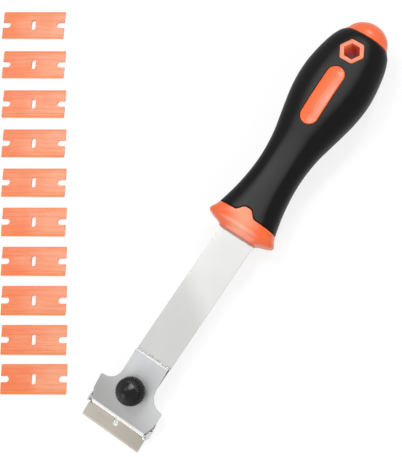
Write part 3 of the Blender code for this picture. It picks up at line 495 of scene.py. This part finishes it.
def make_inlay():
    """Orange pad let into the top of the rubber, its edge rounded and its face dished."""
    radius = INLAY_WIDTH / 2 - GAP / 2
    insets = [*INLAY_DISH_STEPS, radius - INLAY_FLAT_RADIUS]
    dish = [(inset, -INLAY_DISH * (1 - (1 - inset / radius) ** 2)) for inset in insets]
    rings = []
    for inset, lift in [*INLAY_EDGE, *dish]:
        rings.append([(p.x, p.y, skin_height(p.x, p.y) + lift)
                      for p in stadium(INLAY_LENGTH - INLAY_WIDTH, radius - inset, INLAY_X)])
    return skin_over("inlay_pad", rings, "filled", "filled")


def eye_rim_height(x, side):
    """Height of the eye's flat rim, which slopes with the handle."""
    ends = (EYE_X - EYE_OUTER_FLATS / 2, EYE_X + EYE_OUTER_FLATS / 2)
    heights = [handle_section(end)[1] for end in ends]
    slope = (heights[1] - heights[0]) / (ends[1] - ends[0])
    return HANDLE_AXIS + side * (heights[0] + EYE_PROUD + slope * (x - ends[0]))


def make_eye():
    """Six-sided orange eye through the handle, with a flat rim at both ends."""
    outer, inner = EYE_OUTER_FLATS, EYE_INNER_FLATS
    steps = [(outer - inset, depth) for inset, depth in EYE_OUTER_EDGE]
    steps += [(inner + inset, depth) for inset, depth in EYE_INNER_EDGE]
    rings = []
    for side, order in ((1, steps), (-1, steps[::-1])):
        for flats, depth in order:
            share = (outer - flats) / (outer - inner)
            radius = EYE_OUTER_RADIUS + (EYE_INNER_RADIUS - EYE_OUTER_RADIUS) * share
            outline = hexagon(flats, radius, EYE_X, TOOL_Y, sides=4)
            rings.append([(p.x, p.y, eye_rim_height(p.x, side) - side * depth) for p in outline])
    return skin_over("eye_rim", rings, end="joined")


def on_clamp_axis(x, y, height):
    """Point beside the clamp's axis, the height counted from the head's upper face."""
    turned = Euler((0, HEAD_BEND, 0)).to_matrix() @ Vector((x, y, height - CLAMP_BASE_HEIGHT))
    return CLAMP_BASE + turned


def make_knob():
    """Knob with a fluted side and a smooth domed cap, hollow below for the stud's head."""
    count = FLUTE_COUNT * POINTS_PER_FLUTE
    rings = []
    for height_share, radius_share, flute in KNOB_RING_SHARES:
        ring = []
        for turn in turns(count):
            crest = abs(math.sin(turn * FLUTE_COUNT / 2)) ** FLUTE_ROUNDNESS
            radius = KNOB_RADIUS * radius_share - FLUTE_DEPTH * flute * (1 - crest)
            ring.append(on_clamp_axis(radius * math.cos(turn), radius * math.sin(turn),
                                      KNOB_FLOOR + KNOB_HEIGHT * height_share))
        rings.append(ring)
    knob = skin_over("clamp_knob", rings, "filled", "point")
    pocket = hexagon(STUD_HEAD_FLATS + 2 * GAP, STUD_HEAD_CORNER)
    pocket_ends = (KNOB_FLOOR - KNOB_POCKET_DEPTH, KNOB_FLOOR + KNOB_POCKET_DEPTH)
    cutter = skin_over("pocket", [[on_clamp_axis(p.x, p.y, height) for p in pocket]
                                  for height in pocket_ends], "filled", "filled")
    return combined(knob, "DIFFERENCE", [cutter], SHARP_ON_ROUNDED)


def in_head(point):
    """Place on the head: along it from the clamp's axis, across, and height over its upper face."""
    place = Euler((0, -HEAD_BEND, 0)).to_matrix() @ (point - CLAMP_BASE)
    return Vector((place.x, place.y, place.z + CLAMP_BASE_HEIGHT))


def strip_draw(place):
    """How far a corner of the strip's outline moves in, along and across, where the cover lies over it."""
    middle_x, middle_y = NECK_MIDDLE
    if not (STRIP_STEP + GAP / 2 < place.x < WING_REAR and abs(place.y) > STRIP_INNER):
        return Vector((0, 0))
    if place.x < middle_x:
        return Vector((0, -STRIP_DRAW))
    if abs(place.y) < middle_y:
        return Vector((place.x - middle_x, abs(place.y) - middle_y)).normalized() * STRIP_DRAW
    return Vector((STRIP_DRAW, -STRIP_DRAW))


def make_strip():
    """Steel strip, its sides and shoulders drawn in a little where the cover lies over them."""
    strip = softened("base_plate", "shank_strip", STAMPED_EDGE)
    along_head = Vector((math.cos(HEAD_BEND), 0, -math.sin(HEAD_BEND)))
    work = bmesh.new()
    work.from_mesh(strip.data)
    for place in (STRIP_STEP, STRIP_STEP + GAP):
        bmesh.ops.bisect_plane(work, geom=work.verts[:] + work.edges[:] + work.faces[:],
                               plane_co=CLAMP_BASE + along_head * place, plane_no=along_head, dist=WELD)
    for vert in work.verts:
        place = in_head(vert.co)
        if SLOT_REAR[0] < place.x < SLOT_REAR[1] and abs(place.y) < SLOT_HALF_WIDTH:
            vert.co += along_head * (SLOT_REAR[1] - place.x) * SLOT_CLOSED_SHARE
        draw = strip_draw(place)
        vert.co += along_head * draw.x + Vector((0, math.copysign(1, place.y) * draw.y, 0))
    work.to_mesh(strip.data)
    work.free()
    return strip


def make_cover():
    """Cover plate, its heel let down so that it stands close on the head."""
    cover = softened("cover_plate", "clamp_cover", STAMPED_EDGE)
    for vert in cover.data.vertices:
        place = in_head(vert.co)
        if place.x < -HEEL_SETBACK and HEEL_FOOT[0] < place.z < HEEL_FOOT[1]:
            vert.co -= CLAMP_AXIS * HEEL_DROP
    return cover


def make_stud():
    """Threaded stud with the hexagonal head that the knob grips."""
    rings = []
    levels = [STUD_TIP + THREAD_PITCH * step / THREAD_STEPS
              for step in range(math.ceil((STUD_HEAD_FLOOR - STUD_TIP) / THREAD_PITCH * THREAD_STEPS))]
    for height in levels:
        chamfer = min(max((height - STUD_TIP) / STUD_CHAMFER_LENGTH, 0), 1)
        run_out = min(max((STUD_HEAD_FLOOR - height) / THREAD_RUN_OUT, 0), 1)
        ring = []
        for turn in turns(STUD_POINTS):
            phase = (height / THREAD_PITCH - turn / (2 * math.pi)) % 1
            groove = abs(2 * phase - 1)
            radius = STUD_RADIUS - THREAD_DEPTH * groove * run_out - STUD_CHAMFER_DEPTH * (1 - chamfer)
            ring.append(on_clamp_axis(radius * math.cos(turn), radius * math.sin(turn), height))
        rings.append(ring)
    stud = skin_over("threaded_stud", rings, "filled", "filled")
    bevelled = STUD_HEAD_FLATS - STUD_HEAD_BEVEL
    sections = ((bevelled, STUD_HEAD_FLOOR - STUD_HEAD_BEVEL_HEIGHT),
                (STUD_HEAD_FLATS, STUD_HEAD_FLOOR + STUD_HEAD_BEVEL_HEIGHT),
                (STUD_HEAD_FLATS, STUD_HEAD_TOP - STUD_HEAD_BEVEL_HEIGHT), (bevelled, STUD_HEAD_TOP))
    head = skin_over("stud_head", [[on_clamp_axis(p.x, p.y, height)
                                    for p in hexagon(flats, STUD_HEAD_CORNER)]
                                   for flats, height in sections], "filled", "filled")
    return combined(stud, "UNION", [head])


def softened(node, name, width, segments=2):
    """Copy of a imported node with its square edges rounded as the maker's tools leave them."""
    work = bmesh.new()
    work.from_mesh(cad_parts[node].data)
    bmesh.ops.remove_doubles(work, verts=work.verts, dist=WELD)
    edges = [edge for edge in work.edges
             if len(edge.link_faces) == 2 and edge.calc_face_angle() > ROUNDED_FROM]
    bmesh.ops.bevel(work, geom=edges, offset=width, offset_type="OFFSET", segments=segments, profile=0.5,
                    affect="EDGES", clamp_overlap=True, material=-1)
    return even_shading(piece_from(work, name, SHARP_ON_ROUNDED))


def even_shading(piece):
    """Keeps broad flat faces flat beside their rounded edges."""
    step = piece.modifiers.new("even_shading", "WEIGHTED_NORMAL")
    step.mode = "FACE_AREA"
    step.weight = 50
    step.keep_sharp = True
    return piece


def lay_along(piece, name):
    """Gives each corner its place along and across the piece, for lines that follow the moulding."""
    points = [vert.co for vert in piece.data.vertices]
    middle = sum(points, Vector()) / len(points)
    spread_x = sum((p.x - middle.x) ** 2 for p in points)
    spread_y = sum((p.y - middle.y) ** 2 for p in points)
    shared = sum((p.x - middle.x) * (p.y - middle.y) for p in points)
    turn = math.atan2(2 * shared, spread_x - spread_y) / 2
    back = Matrix.Rotation(-turn, 3, "Z")
    layer = piece.data.attributes.new(name, "FLOAT_VECTOR", "POINT")
    for value, point in zip(layer.data, points):
        value.vector = back @ (point - middle)


# Node groups, each built once

def new_group(name, inputs, outputs):
    """Empty node group with named inputs (with their values) and outputs."""
    group = bpy.data.node_groups.new(name, "ShaderNodeTree")
    for label, kind, value in inputs:
        socket = group.interface.new_socket(label, in_out="INPUT", socket_type=kind)
        if value is not None:
            socket.default_value = value
    for label, kind in outputs:
        group.interface.new_socket(label, in_out="OUTPUT", socket_type=kind)
    return group, group.nodes.new("NodeGroupInput"), group.nodes.new("NodeGroupOutput")


def add_node(tree, kind, links=None, **settings):
    """Node with its settings; links gives its inputs a value or another node's output."""
    made = tree.nodes.new(kind)
    for label, value in settings.items():
        setattr(made, label, value)
    for label, value in (links or {}).items():
        if isinstance(value, bpy.types.NodeSocket):
            tree.links.new(value, made.inputs[label])
        else:
            made.inputs[label].default_value = value
    return made


def maths(tree, operation, first, second=0.0, clamp=False):
    made = add_node(tree, "ShaderNodeMath", {0: first, 1: second}, operation=operation)
    made.use_clamp = clamp
    return made.outputs[0]


def spread(tree, value, low, high, out_low=0.0, out_high=1.0):
    """Maps a value's range to another."""
    return add_node(tree, "ShaderNodeMapRange", {"Value": value, "From Min": low, "From Max": high,
                                                 "To Min": out_low, "To Max": out_high}).outputs[0]


def noise(tree, vector, scale, detail=2.0, roughness=0.5):
    return add_node(tree, "ShaderNodeTexNoise", {"Vector": vector, "Scale": scale, "Detail": detail,
                                                 "Roughness": roughness}).outputs["Fac"]


def moulded_grain_group():
    """Fine spark-eroded grain with a slow drift in tone, as on moulded plastic and rubber."""
    group, start, end = new_group(
        "moulded_grain",
        (("Vector", "NodeSocketVector", None), ("Grain Scale", "NodeSocketFloat", 2600.0),
         ("Drift Scale", "NodeSocketFloat", 60.0)),
        (("Height", "NodeSocketFloat"), ("Tone", "NodeSocketFloat"), ("Gloss", "NodeSocketFloat")))
    vector = start.outputs["Vector"]
    fine = noise(group, vector, start.outputs["Grain Scale"], 3.0, 0.6)
    slow = noise(group, vector, start.outputs["Drift Scale"], 2.0)
    middle = noise(group, vector, maths(group, "MULTIPLY", start.outputs["Grain Scale"], 0.22), 2.0)
    height = maths(group, "ADD", fine, maths(group, "MULTIPLY", middle, 0.6))
    group.links.new(height, end.inputs["Height"])
    group.links.new(spread(group, slow, 0.3, 0.7), end.inputs["Tone"])
    gloss = maths(group, "ADD", maths(group, "MULTIPLY", slow, 0.5), maths(group, "MULTIPLY", middle, 0.5))
    group.links.new(spread(group, gloss, 0.3, 0.7), end.inputs["Gloss"])
    return group


def brushed_group():
    """Fine lines left by rolling and grinding along one way of the sheet."""
    group, start, end = new_group(
        "brushed_lines",
        (("Vector", "NodeSocketVector", None), ("Line Scale", "NodeSocketFloat", 2200.0)),
        (("Height", "NodeSocketFloat"), ("Tone", "NodeSocketFloat"), ("Gloss", "NodeSocketFloat")))
    stretched = add_node(group, "ShaderNodeMapping", {"Vector": start.outputs["Vector"],
                                                      "Scale": (0.03, 1.0, 0.3)}).outputs[0]
    lines = noise(group, stretched, start.outputs["Line Scale"], 3.0, 0.65)
    bands = noise(group, stretched, maths(group, "MULTIPLY", start.outputs["Line Scale"], 0.12), 2.0)
    clouds = noise(group, start.outputs["Vector"], 45.0, 3.0, 0.55)
    group.links.new(lines, end.inputs["Height"])
    tone = maths(group, "ADD", maths(group, "MULTIPLY", bands, 0.5), maths(group, "MULTIPLY", clouds, 0.5))
    group.links.new(spread(group, tone, 0.32, 0.68), end.inputs["Tone"])
    gloss = maths(group, "ADD", maths(group, "MULTIPLY", lines, 0.35), maths(group, "MULTIPLY", clouds, 0.65))
    group.links.new(spread(group, gloss, 0.3, 0.7), end.inputs["Gloss"])
    return group


def worn_edge_group():
    """Mask of the edges that handling rubs first, broken up by a noise."""
    group, start, end = new_group(
        "worn_edges",
        (("Vector", "NodeSocketVector", None), ("Breadth", "NodeSocketFloat", 0.0003),
         ("Break Up", "NodeSocketFloat", 700.0)),
        (("Mask", "NodeSocketFloat"),))
    rounded = add_node(group, "ShaderNodeBevel", {"Radius": start.outputs["Breadth"]}, samples=6)
    plain = add_node(group, "ShaderNodeNewGeometry")
    facing = add_node(group, "ShaderNodeVectorMath", operation="DOT_PRODUCT")
    group.links.new(rounded.outputs[0], facing.inputs[0])
    group.links.new(plain.outputs["Normal"], facing.inputs[1])
    edge = spread(group, facing.outputs["Value"], 0.995, 0.80)
    broken = spread(group, noise(group, start.outputs["Vector"], start.outputs["Break Up"], 3.0), 0.35, 0.65)
    group.links.new(maths(group, "MULTIPLY", edge, broken, True), end.inputs["Mask"])
    return group


def speck_group():
    """Sparse tiny specks of dust and pits."""
    group, start, end = new_group(
        "specks",
        (("Vector", "NodeSocketVector", None), ("Speck Scale", "NodeSocketFloat", 900.0)),
        (("Mask", "NodeSocketFloat"),))
    cells = add_node(group, "ShaderNodeTexVoronoi", {"Vector": start.outputs["Vector"],
                                                     "Scale": start.outputs["Speck Scale"]})
    patch_scale = maths(group, "MULTIPLY", start.outputs["Speck Scale"], 0.21)
    patch = noise(group, start.outputs["Vector"], patch_scale, 1.0)
    near = spread(group, cells.outputs["Distance"], 0.16, 0.06)
    sparse = spread(group, patch, 0.60, 0.66)
    group.links.new(maths(group, "MULTIPLY", near, sparse, True), end.inputs["Mask"])
    return group


GROUPS = {"moulded_grain": moulded_grain_group(), "brushed_lines": brushed_group(),
          "worn_edges": worn_edge_group(), "specks": speck_group()}


def place_group(tree, name, links):
    return add_node(tree, "ShaderNodeGroup", links, node_tree=GROUPS[name])


def mix_colours(tree, share, first, second):
    made = add_node(tree, "ShaderNodeMix", data_type="RGBA", blend_type="MIX")
    for index, value in ((0, share), (6, first), (7, second)):
        if isinstance(value, bpy.types.NodeSocket):
            tree.links.new(value, made.inputs[index])
        else:
            made.inputs[index].default_value = value
    return made.outputs[2]


def new_material(name):
    """Material with its shader and the Object coordinates."""
    finish = bpy.data.materials.new(name)
    finish.use_nodes = True
    tree = finish.node_tree
    shader = tree.nodes["Principled BSDF"]
    place = tree.nodes.new("ShaderNodeTexCoord").outputs["Object"]
    return finish, tree, shader, place


def bump(tree, height, strength, distance):
    return add_node(tree, "ShaderNodeBump", {"Height": height, "Strength": strength,
                                             "Distance": distance}).outputs[0]


def along_sheet(tree, place, tilt):
    """Place along the sheet, turned by the tilt."""
    turned = add_node(tree, "ShaderNodeMapping", {"Vector": place, "Rotation": tilt}).outputs[0]
    return add_node(tree, "ShaderNodeSeparateXYZ", {"Vector": turned}).outputs[0]


def smooth_share(tree, value, start, full):
    """0 where the value is at start, going softly to 1 where it is full."""
    return add_node(tree, "ShaderNodeMapRange", {"Value": value, "From Min": start, "From Max": full},
                    interpolation_type="SMOOTHSTEP").outputs[0]


def plainly_seen(tree):
    """1 for what the camera or a reflection shows, and 0 for the light that falls on other things."""
    path = tree.nodes.new("ShaderNodeLightPath")
    seen = maths(tree, "MAXIMUM", path.outputs["Is Camera Ray"], path.outputs["Is Glossy Ray"])
    return maths(tree, "MAXIMUM", seen, path.outputs["Is Transmission Ray"])


def moulded_plastic(name, colour, deep, pale, roughness, grain_scale, grain_strength, shine=0.5, coat=0.0,
                    worn=0.25, coat_roughness=0.25, painted_sheen=None, painted_highlights=(), nose_rim_shade=None):
    """Moulded plastic: colour with a slow drift, grain, lighter worn edges and a little dust.
    painted_sheen is a painted highlight on the faces that point one way: the way, where it starts
    and is full, and its colour; painted_highlights are painted paler clouds: the middle of each, its
    reach and its colour; nose_rim_shade is the colour of the painted shade on the handle's rim at the nose."""
    finish, tree, shader, place = new_material(name)
    grain = place_group(tree, "moulded_grain", {"Vector": place, "Grain Scale": grain_scale})
    worn_edges = place_group(tree, "worn_edges", {"Vector": place})
    specks = place_group(tree, "specks", {"Vector": place})
    body = mix_colours(tree, grain.outputs["Tone"], (*deep, 1), (*colour, 1))
    # Painted highlight: the colour goes paler on the faces that point the given way
    if painted_sheen:
        way, least, most, sheen_colour = painted_sheen
        facing = add_node(tree, "ShaderNodeVectorMath", {1: way}, operation="DOT_PRODUCT")
        tree.links.new(tree.nodes.new("ShaderNodeNewGeometry").outputs["Normal"], facing.inputs[0])
        wear_and_sheen = smooth_share(tree, facing.outputs["Value"], least, most)
        body = mix_colours(tree, wear_and_sheen, body, (*sheen_colour, 1))
    # Painted highlights: a paler cloud round each given middle
    for highlight_centre, reach, highlight_colour in painted_highlights:
        away = add_node(tree, "ShaderNodeVectorMath", {0: place, 1: highlight_centre}, operation="DISTANCE")
        cloud = smooth_share(tree, away.outputs["Value"], reach, 0.0)
        body = mix_colours(tree, cloud, body, (*highlight_colour, 1))
    # Painted shade: the rim at the nose goes over to a darker colour
    if nose_rim_shade:
        rim = spread(tree, add_node(tree, "ShaderNodeSeparateXYZ", {"Vector": place}).outputs[0],
                     NOSE_X - NOSE_RIM, NOSE_X)
        body = mix_colours(tree, maths(tree, "MULTIPLY", rim, NOSE_SHADE_SHARE), body, (*nose_rim_shade, 1))
    edged = mix_colours(tree, maths(tree, "MULTIPLY", worn_edges.outputs["Mask"], worn), body, (*pale, 1))
    dusted = mix_colours(tree, maths(tree, "MULTIPLY", specks.outputs["Mask"], 0.25), edged, (*pale, 1))
    tree.links.new(dusted, shader.inputs["Base Color"])
    gloss = spread(tree, grain.outputs["Gloss"], 0.0, 1.0, *roughness)
    tree.links.new(gloss, shader.inputs["Roughness"])
    grained = bump(tree, grain.outputs["Height"], grain_strength, GRAIN_DEPTH)
    tree.links.new(grained, shader.inputs["Normal"])
    shader.inputs["Specular IOR Level"].default_value = shine
    shader.inputs["Coat Weight"].default_value = coat
    shader.inputs["Coat Roughness"].default_value = coat_roughness
    return finish


def salmon_plastic():
    """Loose blades: flow lines along the moulding, deeper colour where the edges thin out,
    and a line of painted shade where each bevel meets the face.
    """
    finish, tree, shader, place = new_material("salmon_plastic")
    lay = add_node(tree, "ShaderNodeAttribute", attribute_name="lay").outputs["Vector"]
    streaks = add_node(tree, "ShaderNodeMapping", {"Vector": lay, "Scale": (0.05, 1.0, 1.0)}).outputs[0]
    flow = noise(tree, streaks, 1500.0, 3.0, 0.6)
    cloud = noise(tree, place, 55.0, 2.0, 0.5)
    grain = place_group(tree, "moulded_grain", {"Vector": place, "Grain Scale": 3000.0})
    worn_edges = place_group(tree, "worn_edges", {"Vector": place, "Breadth": 0.00025})
    lay_axes = add_node(tree, "ShaderNodeSeparateXYZ", {"Vector": lay})
    across = maths(tree, "ABSOLUTE", lay_axes.outputs[1])
    thin = spread(tree, across, 0.0064, 0.0080)
    along = spread(tree, lay_axes.outputs[0], 0.016, -0.016)
    drift = maths(tree, "ADD", maths(tree, "MULTIPLY", cloud, 0.32), maths(tree, "MULTIPLY", along, 0.20))
    tone = maths(tree, "ADD", maths(tree, "MULTIPLY", flow, 0.48), drift)
    body = mix_colours(tree, spread(tree, tone, 0.40, 0.60), (0.92, 0.215, 0.075, 1),
                       (0.945, 0.370, 0.210, 1))
    edged = mix_colours(tree, maths(tree, "MULTIPLY", thin, 0.75), body, (0.92, 0.240, 0.060, 1))
    # Painted shade: a darker line where each bevel meets the face
    crease = spread(tree, maths(tree, "ABSOLUTE", maths(tree, "SUBTRACT", across, 0.0062)), 0.00035, 0.0)
    edged = mix_colours(tree, maths(tree, "MULTIPLY", crease, 0.40, True), edged, (0.66, 0.150, 0.050, 1))
    wear_and_sheen = mix_colours(tree, maths(tree, "MULTIPLY", worn_edges.outputs["Mask"], 0.30), edged,
                         (0.80, 0.24, 0.10, 1))
    tree.links.new(wear_and_sheen, shader.inputs["Base Color"])
    tree.links.new(spread(tree, grain.outputs["Gloss"], 0.0, 1.0, 0.36, 0.50), shader.inputs["Roughness"])
    height = maths(tree, "ADD", grain.outputs["Height"], maths(tree, "MULTIPLY", flow, 1.5))
    tree.links.new(bump(tree, height, 0.16, GRAIN_DEPTH), shader.inputs["Normal"])
    shader.inputs["Specular IOR Level"].default_value = 0.4
    return finish


def sheet_steel(name, light, dark, roughness, turn=0.0, line_scale=2200.0, strength=0.12, shade=None,
                metallic=1.0, lip_highlight=None):
    """Sheet steel: fine lines along the sheet, drifting tone, brighter worn edges and specks.
    shade is (tilt, from, to, colour): painted reflection and shade, a colour that the sheet goes over to
    along its length; lip_highlight is (tilt, from, to): where the sheet is folded down, painted with a
    highlight."""
    finish, tree, shader, place = new_material(name)
    turned = add_node(tree, "ShaderNodeMapping", {"Vector": place, "Rotation": (0, 0, turn)}).outputs[0]
    brushed = place_group(tree, "brushed_lines", {"Vector": turned, "Line Scale": line_scale})
    worn_edges = place_group(tree, "worn_edges", {"Vector": place})
    specks = place_group(tree, "specks", {"Vector": place, "Speck Scale": 700.0})
    body = mix_colours(tree, brushed.outputs["Tone"], (*dark, 1), (*light, 1))
    # Painted reflection and shade: the colour goes over to another along the sheet
    if shade:
        tilt, start, end, colour = shade
        share = smooth_share(tree, along_sheet(tree, place, tilt), start, end)
        body = mix_colours(tree, share, body, (*colour, 1))
    # Painted highlight along the cover's folded lip
    if lip_highlight:
        tilt, start, end = lip_highlight
        lip_share = spread(tree, along_sheet(tree, place, tilt), start, end)
        body = mix_colours(tree, lip_share, body, (0.94, 0.94, 0.93, 1))
    wear_and_sheen = maths(tree, "MULTIPLY", worn_edges.outputs["Mask"], 0.6)
    edged = mix_colours(tree, wear_and_sheen, body, (0.88, 0.88, 0.87, 1))
    pitted = mix_colours(tree, maths(tree, "MULTIPLY", specks.outputs["Mask"], 0.3), edged,
                         tuple(c * 0.6 for c in dark) + (1,))
    tree.links.new(pitted, shader.inputs["Base Color"])
    gloss = spread(tree, brushed.outputs["Gloss"], 0.0, 1.0, *roughness)
    tree.links.new(gloss, shader.inputs["Roughness"])
    tree.links.new(bump(tree, brushed.outputs["Height"], strength, LINE_DEPTH), shader.inputs["Normal"])
    shader.inputs["Metallic"].default_value = metallic
    return finish


def dress(piece, finish, body, slot, *nodes):
    """Gives a piece its finish and its body, and hides the nodes that it stands for; slot is not used."""
    piece.data.materials.clear()
    piece.data.materials.append(finish)
    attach(piece, body)
    if nodes:
        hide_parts(*nodes)


def dress_handle():
    # Painted highlights: paler clouds on the guard's top and on the eye's rim
    guard_highlight = ((NOSE_X - 0.0086, TOOL_Y + 0.0012, 0.0215), 0.0130, (1.0, 0.41, 0.24))
    eye_highlight = ((EYE_X, TOOL_Y, HANDLE_THICKNESS), 0.0120, (1.0, 0.40, 0.24))
    orange = moulded_plastic("orange_plastic", colour=(1.0, 0.148, 0.024), deep=(0.97, 0.128, 0.016),
                             pale=(1.0, 0.34, 0.18), roughness=(0.33, 0.40), grain_scale=3200.0,
                             grain_strength=0.08, shine=0.55, coat=0.3, painted_highlights=(guard_highlight, eye_highlight),
                             nose_rim_shade=(0.42, 0.045, 0.012))
    # Painted highlight along the rubber's top
    rubber = moulded_plastic("black_rubber", colour=(0.0070, 0.0069, 0.0068), deep=(0.0050, 0.0049, 0.0048),
                             pale=(0.036, 0.0355, 0.035), roughness=(0.38, 0.44), grain_scale=2200.0,
                             grain_strength=0.22, shine=0.095, worn=0.20,
                             painted_sheen=((0.0, 0.05, 0.9987), 0.930, 1.004, (0.046, 0.0455, 0.045)))
    for piece in (make_guard(), make_inlay(), make_eye(), make_cap()):
        dress(piece, orange, "holder", "orange_plastic", "handle_core")
    dress(make_sleeve(), rubber, "holder", "black_rubber", "rubber_grip")


def dress_head():
    # Painted reflection and shade along the strip, cover and blade, and a painted highlight on the cover's
    # lip
    strip = sheet_steel("plated_strip", light=(0.655, 0.655, 0.645), dark=(0.635, 0.635, 0.625),
                        roughness=(0.09, 0.12), strength=0.04,
                        shade=((0, 0, STRIP_SHADE_TURN), -0.013, -0.028, (0.77, 0.77, 0.76)))
    cover = sheet_steel("plated_cover", light=(0.595, 0.60, 0.605), dark=(0.56, 0.565, 0.57),
                        roughness=(0.46, 0.52), line_scale=2600.0, strength=0.05, metallic=0.6,
                        shade=((0, HEAD_BEND, COVER_SHADE_TURN), 0.054, 0.082, (0.345, 0.345, 0.34)),
                        lip_highlight=((0, -HEAD_BEND, 0), *LIP_HIGHLIGHT_PLACE))
    blade = sheet_steel("blade_steel", light=(0.50, 0.46, 0.40), dark=(0.45, 0.41, 0.358),
                        roughness=(0.30, 0.38), turn=math.pi / 2, line_scale=3000.0, strength=0.12,
                        shade=((0, 0, BLADE_SHADE_TURN), 0.085, 0.110, (0.41, 0.375, 0.328)))
    zinc = sheet_steel("zinc_steel", light=(0.66, 0.665, 0.66), dark=(0.56, 0.565, 0.56),
                       roughness=(0.24, 0.36), line_scale=1500.0)
    dress(make_strip(), strip, "holder", "plated_steel", "base_plate")
    dress(make_cover(), cover, "cover", "plated_steel", "cover_plate")
    dress(softened("blade_spine", "folded_spine", SPINE_EDGE), zinc, "holder", "blade_steel", "blade_spine")
    dress(softened("washer", "plain_washer", WASHER_EDGE), zinc, "clamp_slide", "zinc_steel", "washer")
    dress(softened("nut", "clamp_nut", NUT_EDGE), zinc, "holder", "zinc_steel", "nut")
    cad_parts["razor_blade"].data.materials.clear()
    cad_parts["razor_blade"].data.materials.append(blade)
    dress(make_stud(), zinc, "clamp_knob", "zinc_steel", "clamp_screw")
    # Painted highlight spot on the knob's cap
    black = moulded_plastic("black_plastic", colour=(0.0048, 0.0048, 0.0050), deep=(0.0034, 0.0034, 0.0036),
                            pale=(0.22, 0.22, 0.22), roughness=(0.40, 0.46), grain_scale=2800.0,
                            grain_strength=0.10, shine=0.18, coat=0.10, worn=0.7, coat_roughness=0.22,
                            painted_sheen=((-0.475, 0.130, 0.870), 0.958, 1.0, (0.18, 0.18, 0.18)))
    dress(make_knob(), black, "clamp_knob", "black_plastic", "knob")


def dress_loose_blades():
    salmon = salmon_plastic()
    for number in range(1, 11):
        node = f"plastic_blade_{number:02d}"
        blade = softened(node, f"loose_blade_{number:02d}", LOOSE_BLADE_EDGE)
        lay_along(blade, "lay")
        dress(blade, salmon, "loose_blades", "salmon_plastic", node)


def make_camera():
    """Camera at the photograph's viewpoint."""
    data = bpy.data.cameras.new("camera")
    data.lens = CAMERA_LENS
    data.sensor_width = CAMERA_SENSOR
    data.sensor_fit = "HORIZONTAL"
    data.clip_start = 0.01
    camera = bpy.data.objects.new("camera", data)
    bpy.context.scene.collection.objects.link(camera)
    turn = (Matrix.Rotation(math.pi / 2, 3, "Z") @ Matrix.Rotation(CAMERA_YAW, 3, "Z")
            @ Matrix.Rotation(CAMERA_ROLL, 3, "Y") @ Matrix.Rotation(CAMERA_PITCH, 3, "X")
            @ Matrix.Rotation(PICTURE_TURN, 3, "Z"))
    place = CAMERA_AIM + turn @ Vector((0, 0, CAMERA_DISTANCE))
    camera.matrix_world = Matrix.Translation(place) @ turn.to_4x4()
    bpy.context.scene.camera = camera


def add_lamp(name, place, aim, size, watts, mirrored):
    """Soft square lamp; one that isn't mirrored lights things without showing in their gloss."""
    data = bpy.data.lights.new(name, "AREA")
    data.shape = "SQUARE"
    data.size = size
    data.energy = watts
    lamp = bpy.data.objects.new(name, data)
    bpy.context.scene.collection.objects.link(lamp)
    lamp.visible_glossy = mirrored
    lamp.matrix_world = (Matrix.Translation(place)
                         @ (Vector(place) - Vector(aim)).to_track_quat("Z", "Y").to_matrix().to_4x4())


def make_floor():
    """Pale floor that takes the shadow and shows white to the camera."""
    work = bmesh.new()
    bmesh.ops.create_grid(work, x_segments=1, y_segments=1, size=FLOOR_HALF_WIDTH)
    bmesh.ops.translate(work, vec=(0, 0, FLOOR_Z), verts=work.verts)
    floor = piece_from(work, "floor")
    finish, tree, shader, _ = new_material("pale_floor")
    shader.inputs["Base Color"].default_value = (FLOOR_GREY, FLOOR_GREY, FLOOR_GREY, 1)
    shader.inputs["Roughness"].default_value = 0.9
    shader.inputs["Specular IOR Level"].default_value = 0.0
    open_share = add_node(tree, "ShaderNodeAmbientOcclusion", {"Distance": CONTACT_SHADE_REACH},
                          samples=8).outputs["AO"]
    glow_strength = spread(tree, open_share, *CONTACT_SHADE, 0.0, FLOOR_GLOW)
    glow = add_node(tree, "ShaderNodeEmission", {"Color": WHITE, "Strength": glow_strength})
    total = add_node(tree, "ShaderNodeAddShader")
    tree.links.new(shader.outputs[0], total.inputs[0])
    tree.links.new(glow.outputs[0], total.inputs[1])
    choice = add_node(tree, "ShaderNodeMixShader", {0: plainly_seen(tree)})
    tree.links.new(shader.outputs[0], choice.inputs[1])
    tree.links.new(total.outputs[0], choice.inputs[2])
    tree.links.new(choice.outputs[0], tree.nodes["Material Output"].inputs[0])
    floor.data.materials.append(finish)


def make_world():
    """Even room light, plain white to the camera and in reflections."""
    world = bpy.data.worlds.new("room")
    bpy.context.scene.world = world
    world.use_nodes = True
    tree = world.node_tree
    room = tree.nodes["Background"]
    room.inputs["Color"].default_value = WHITE
    room.inputs["Strength"].default_value = ROOM_LIGHT
    white = add_node(tree, "ShaderNodeBackground", {"Color": WHITE, "Strength": 1.0})
    choice = add_node(tree, "ShaderNodeMixShader", {0: plainly_seen(tree)})
    tree.links.new(room.outputs[0], choice.inputs[1])
    tree.links.new(white.outputs[0], choice.inputs[2])
    tree.links.new(choice.outputs[0], tree.nodes["World Output"].inputs[0])


def make_studio():
    make_camera()
    make_floor()
    make_world()
    for lamp in LAMPS:
        add_lamp(*lamp)
    bpy.context.scene.view_settings.view_transform = "Standard"


dress_handle()
dress_head()
dress_loose_blades()
make_studio()
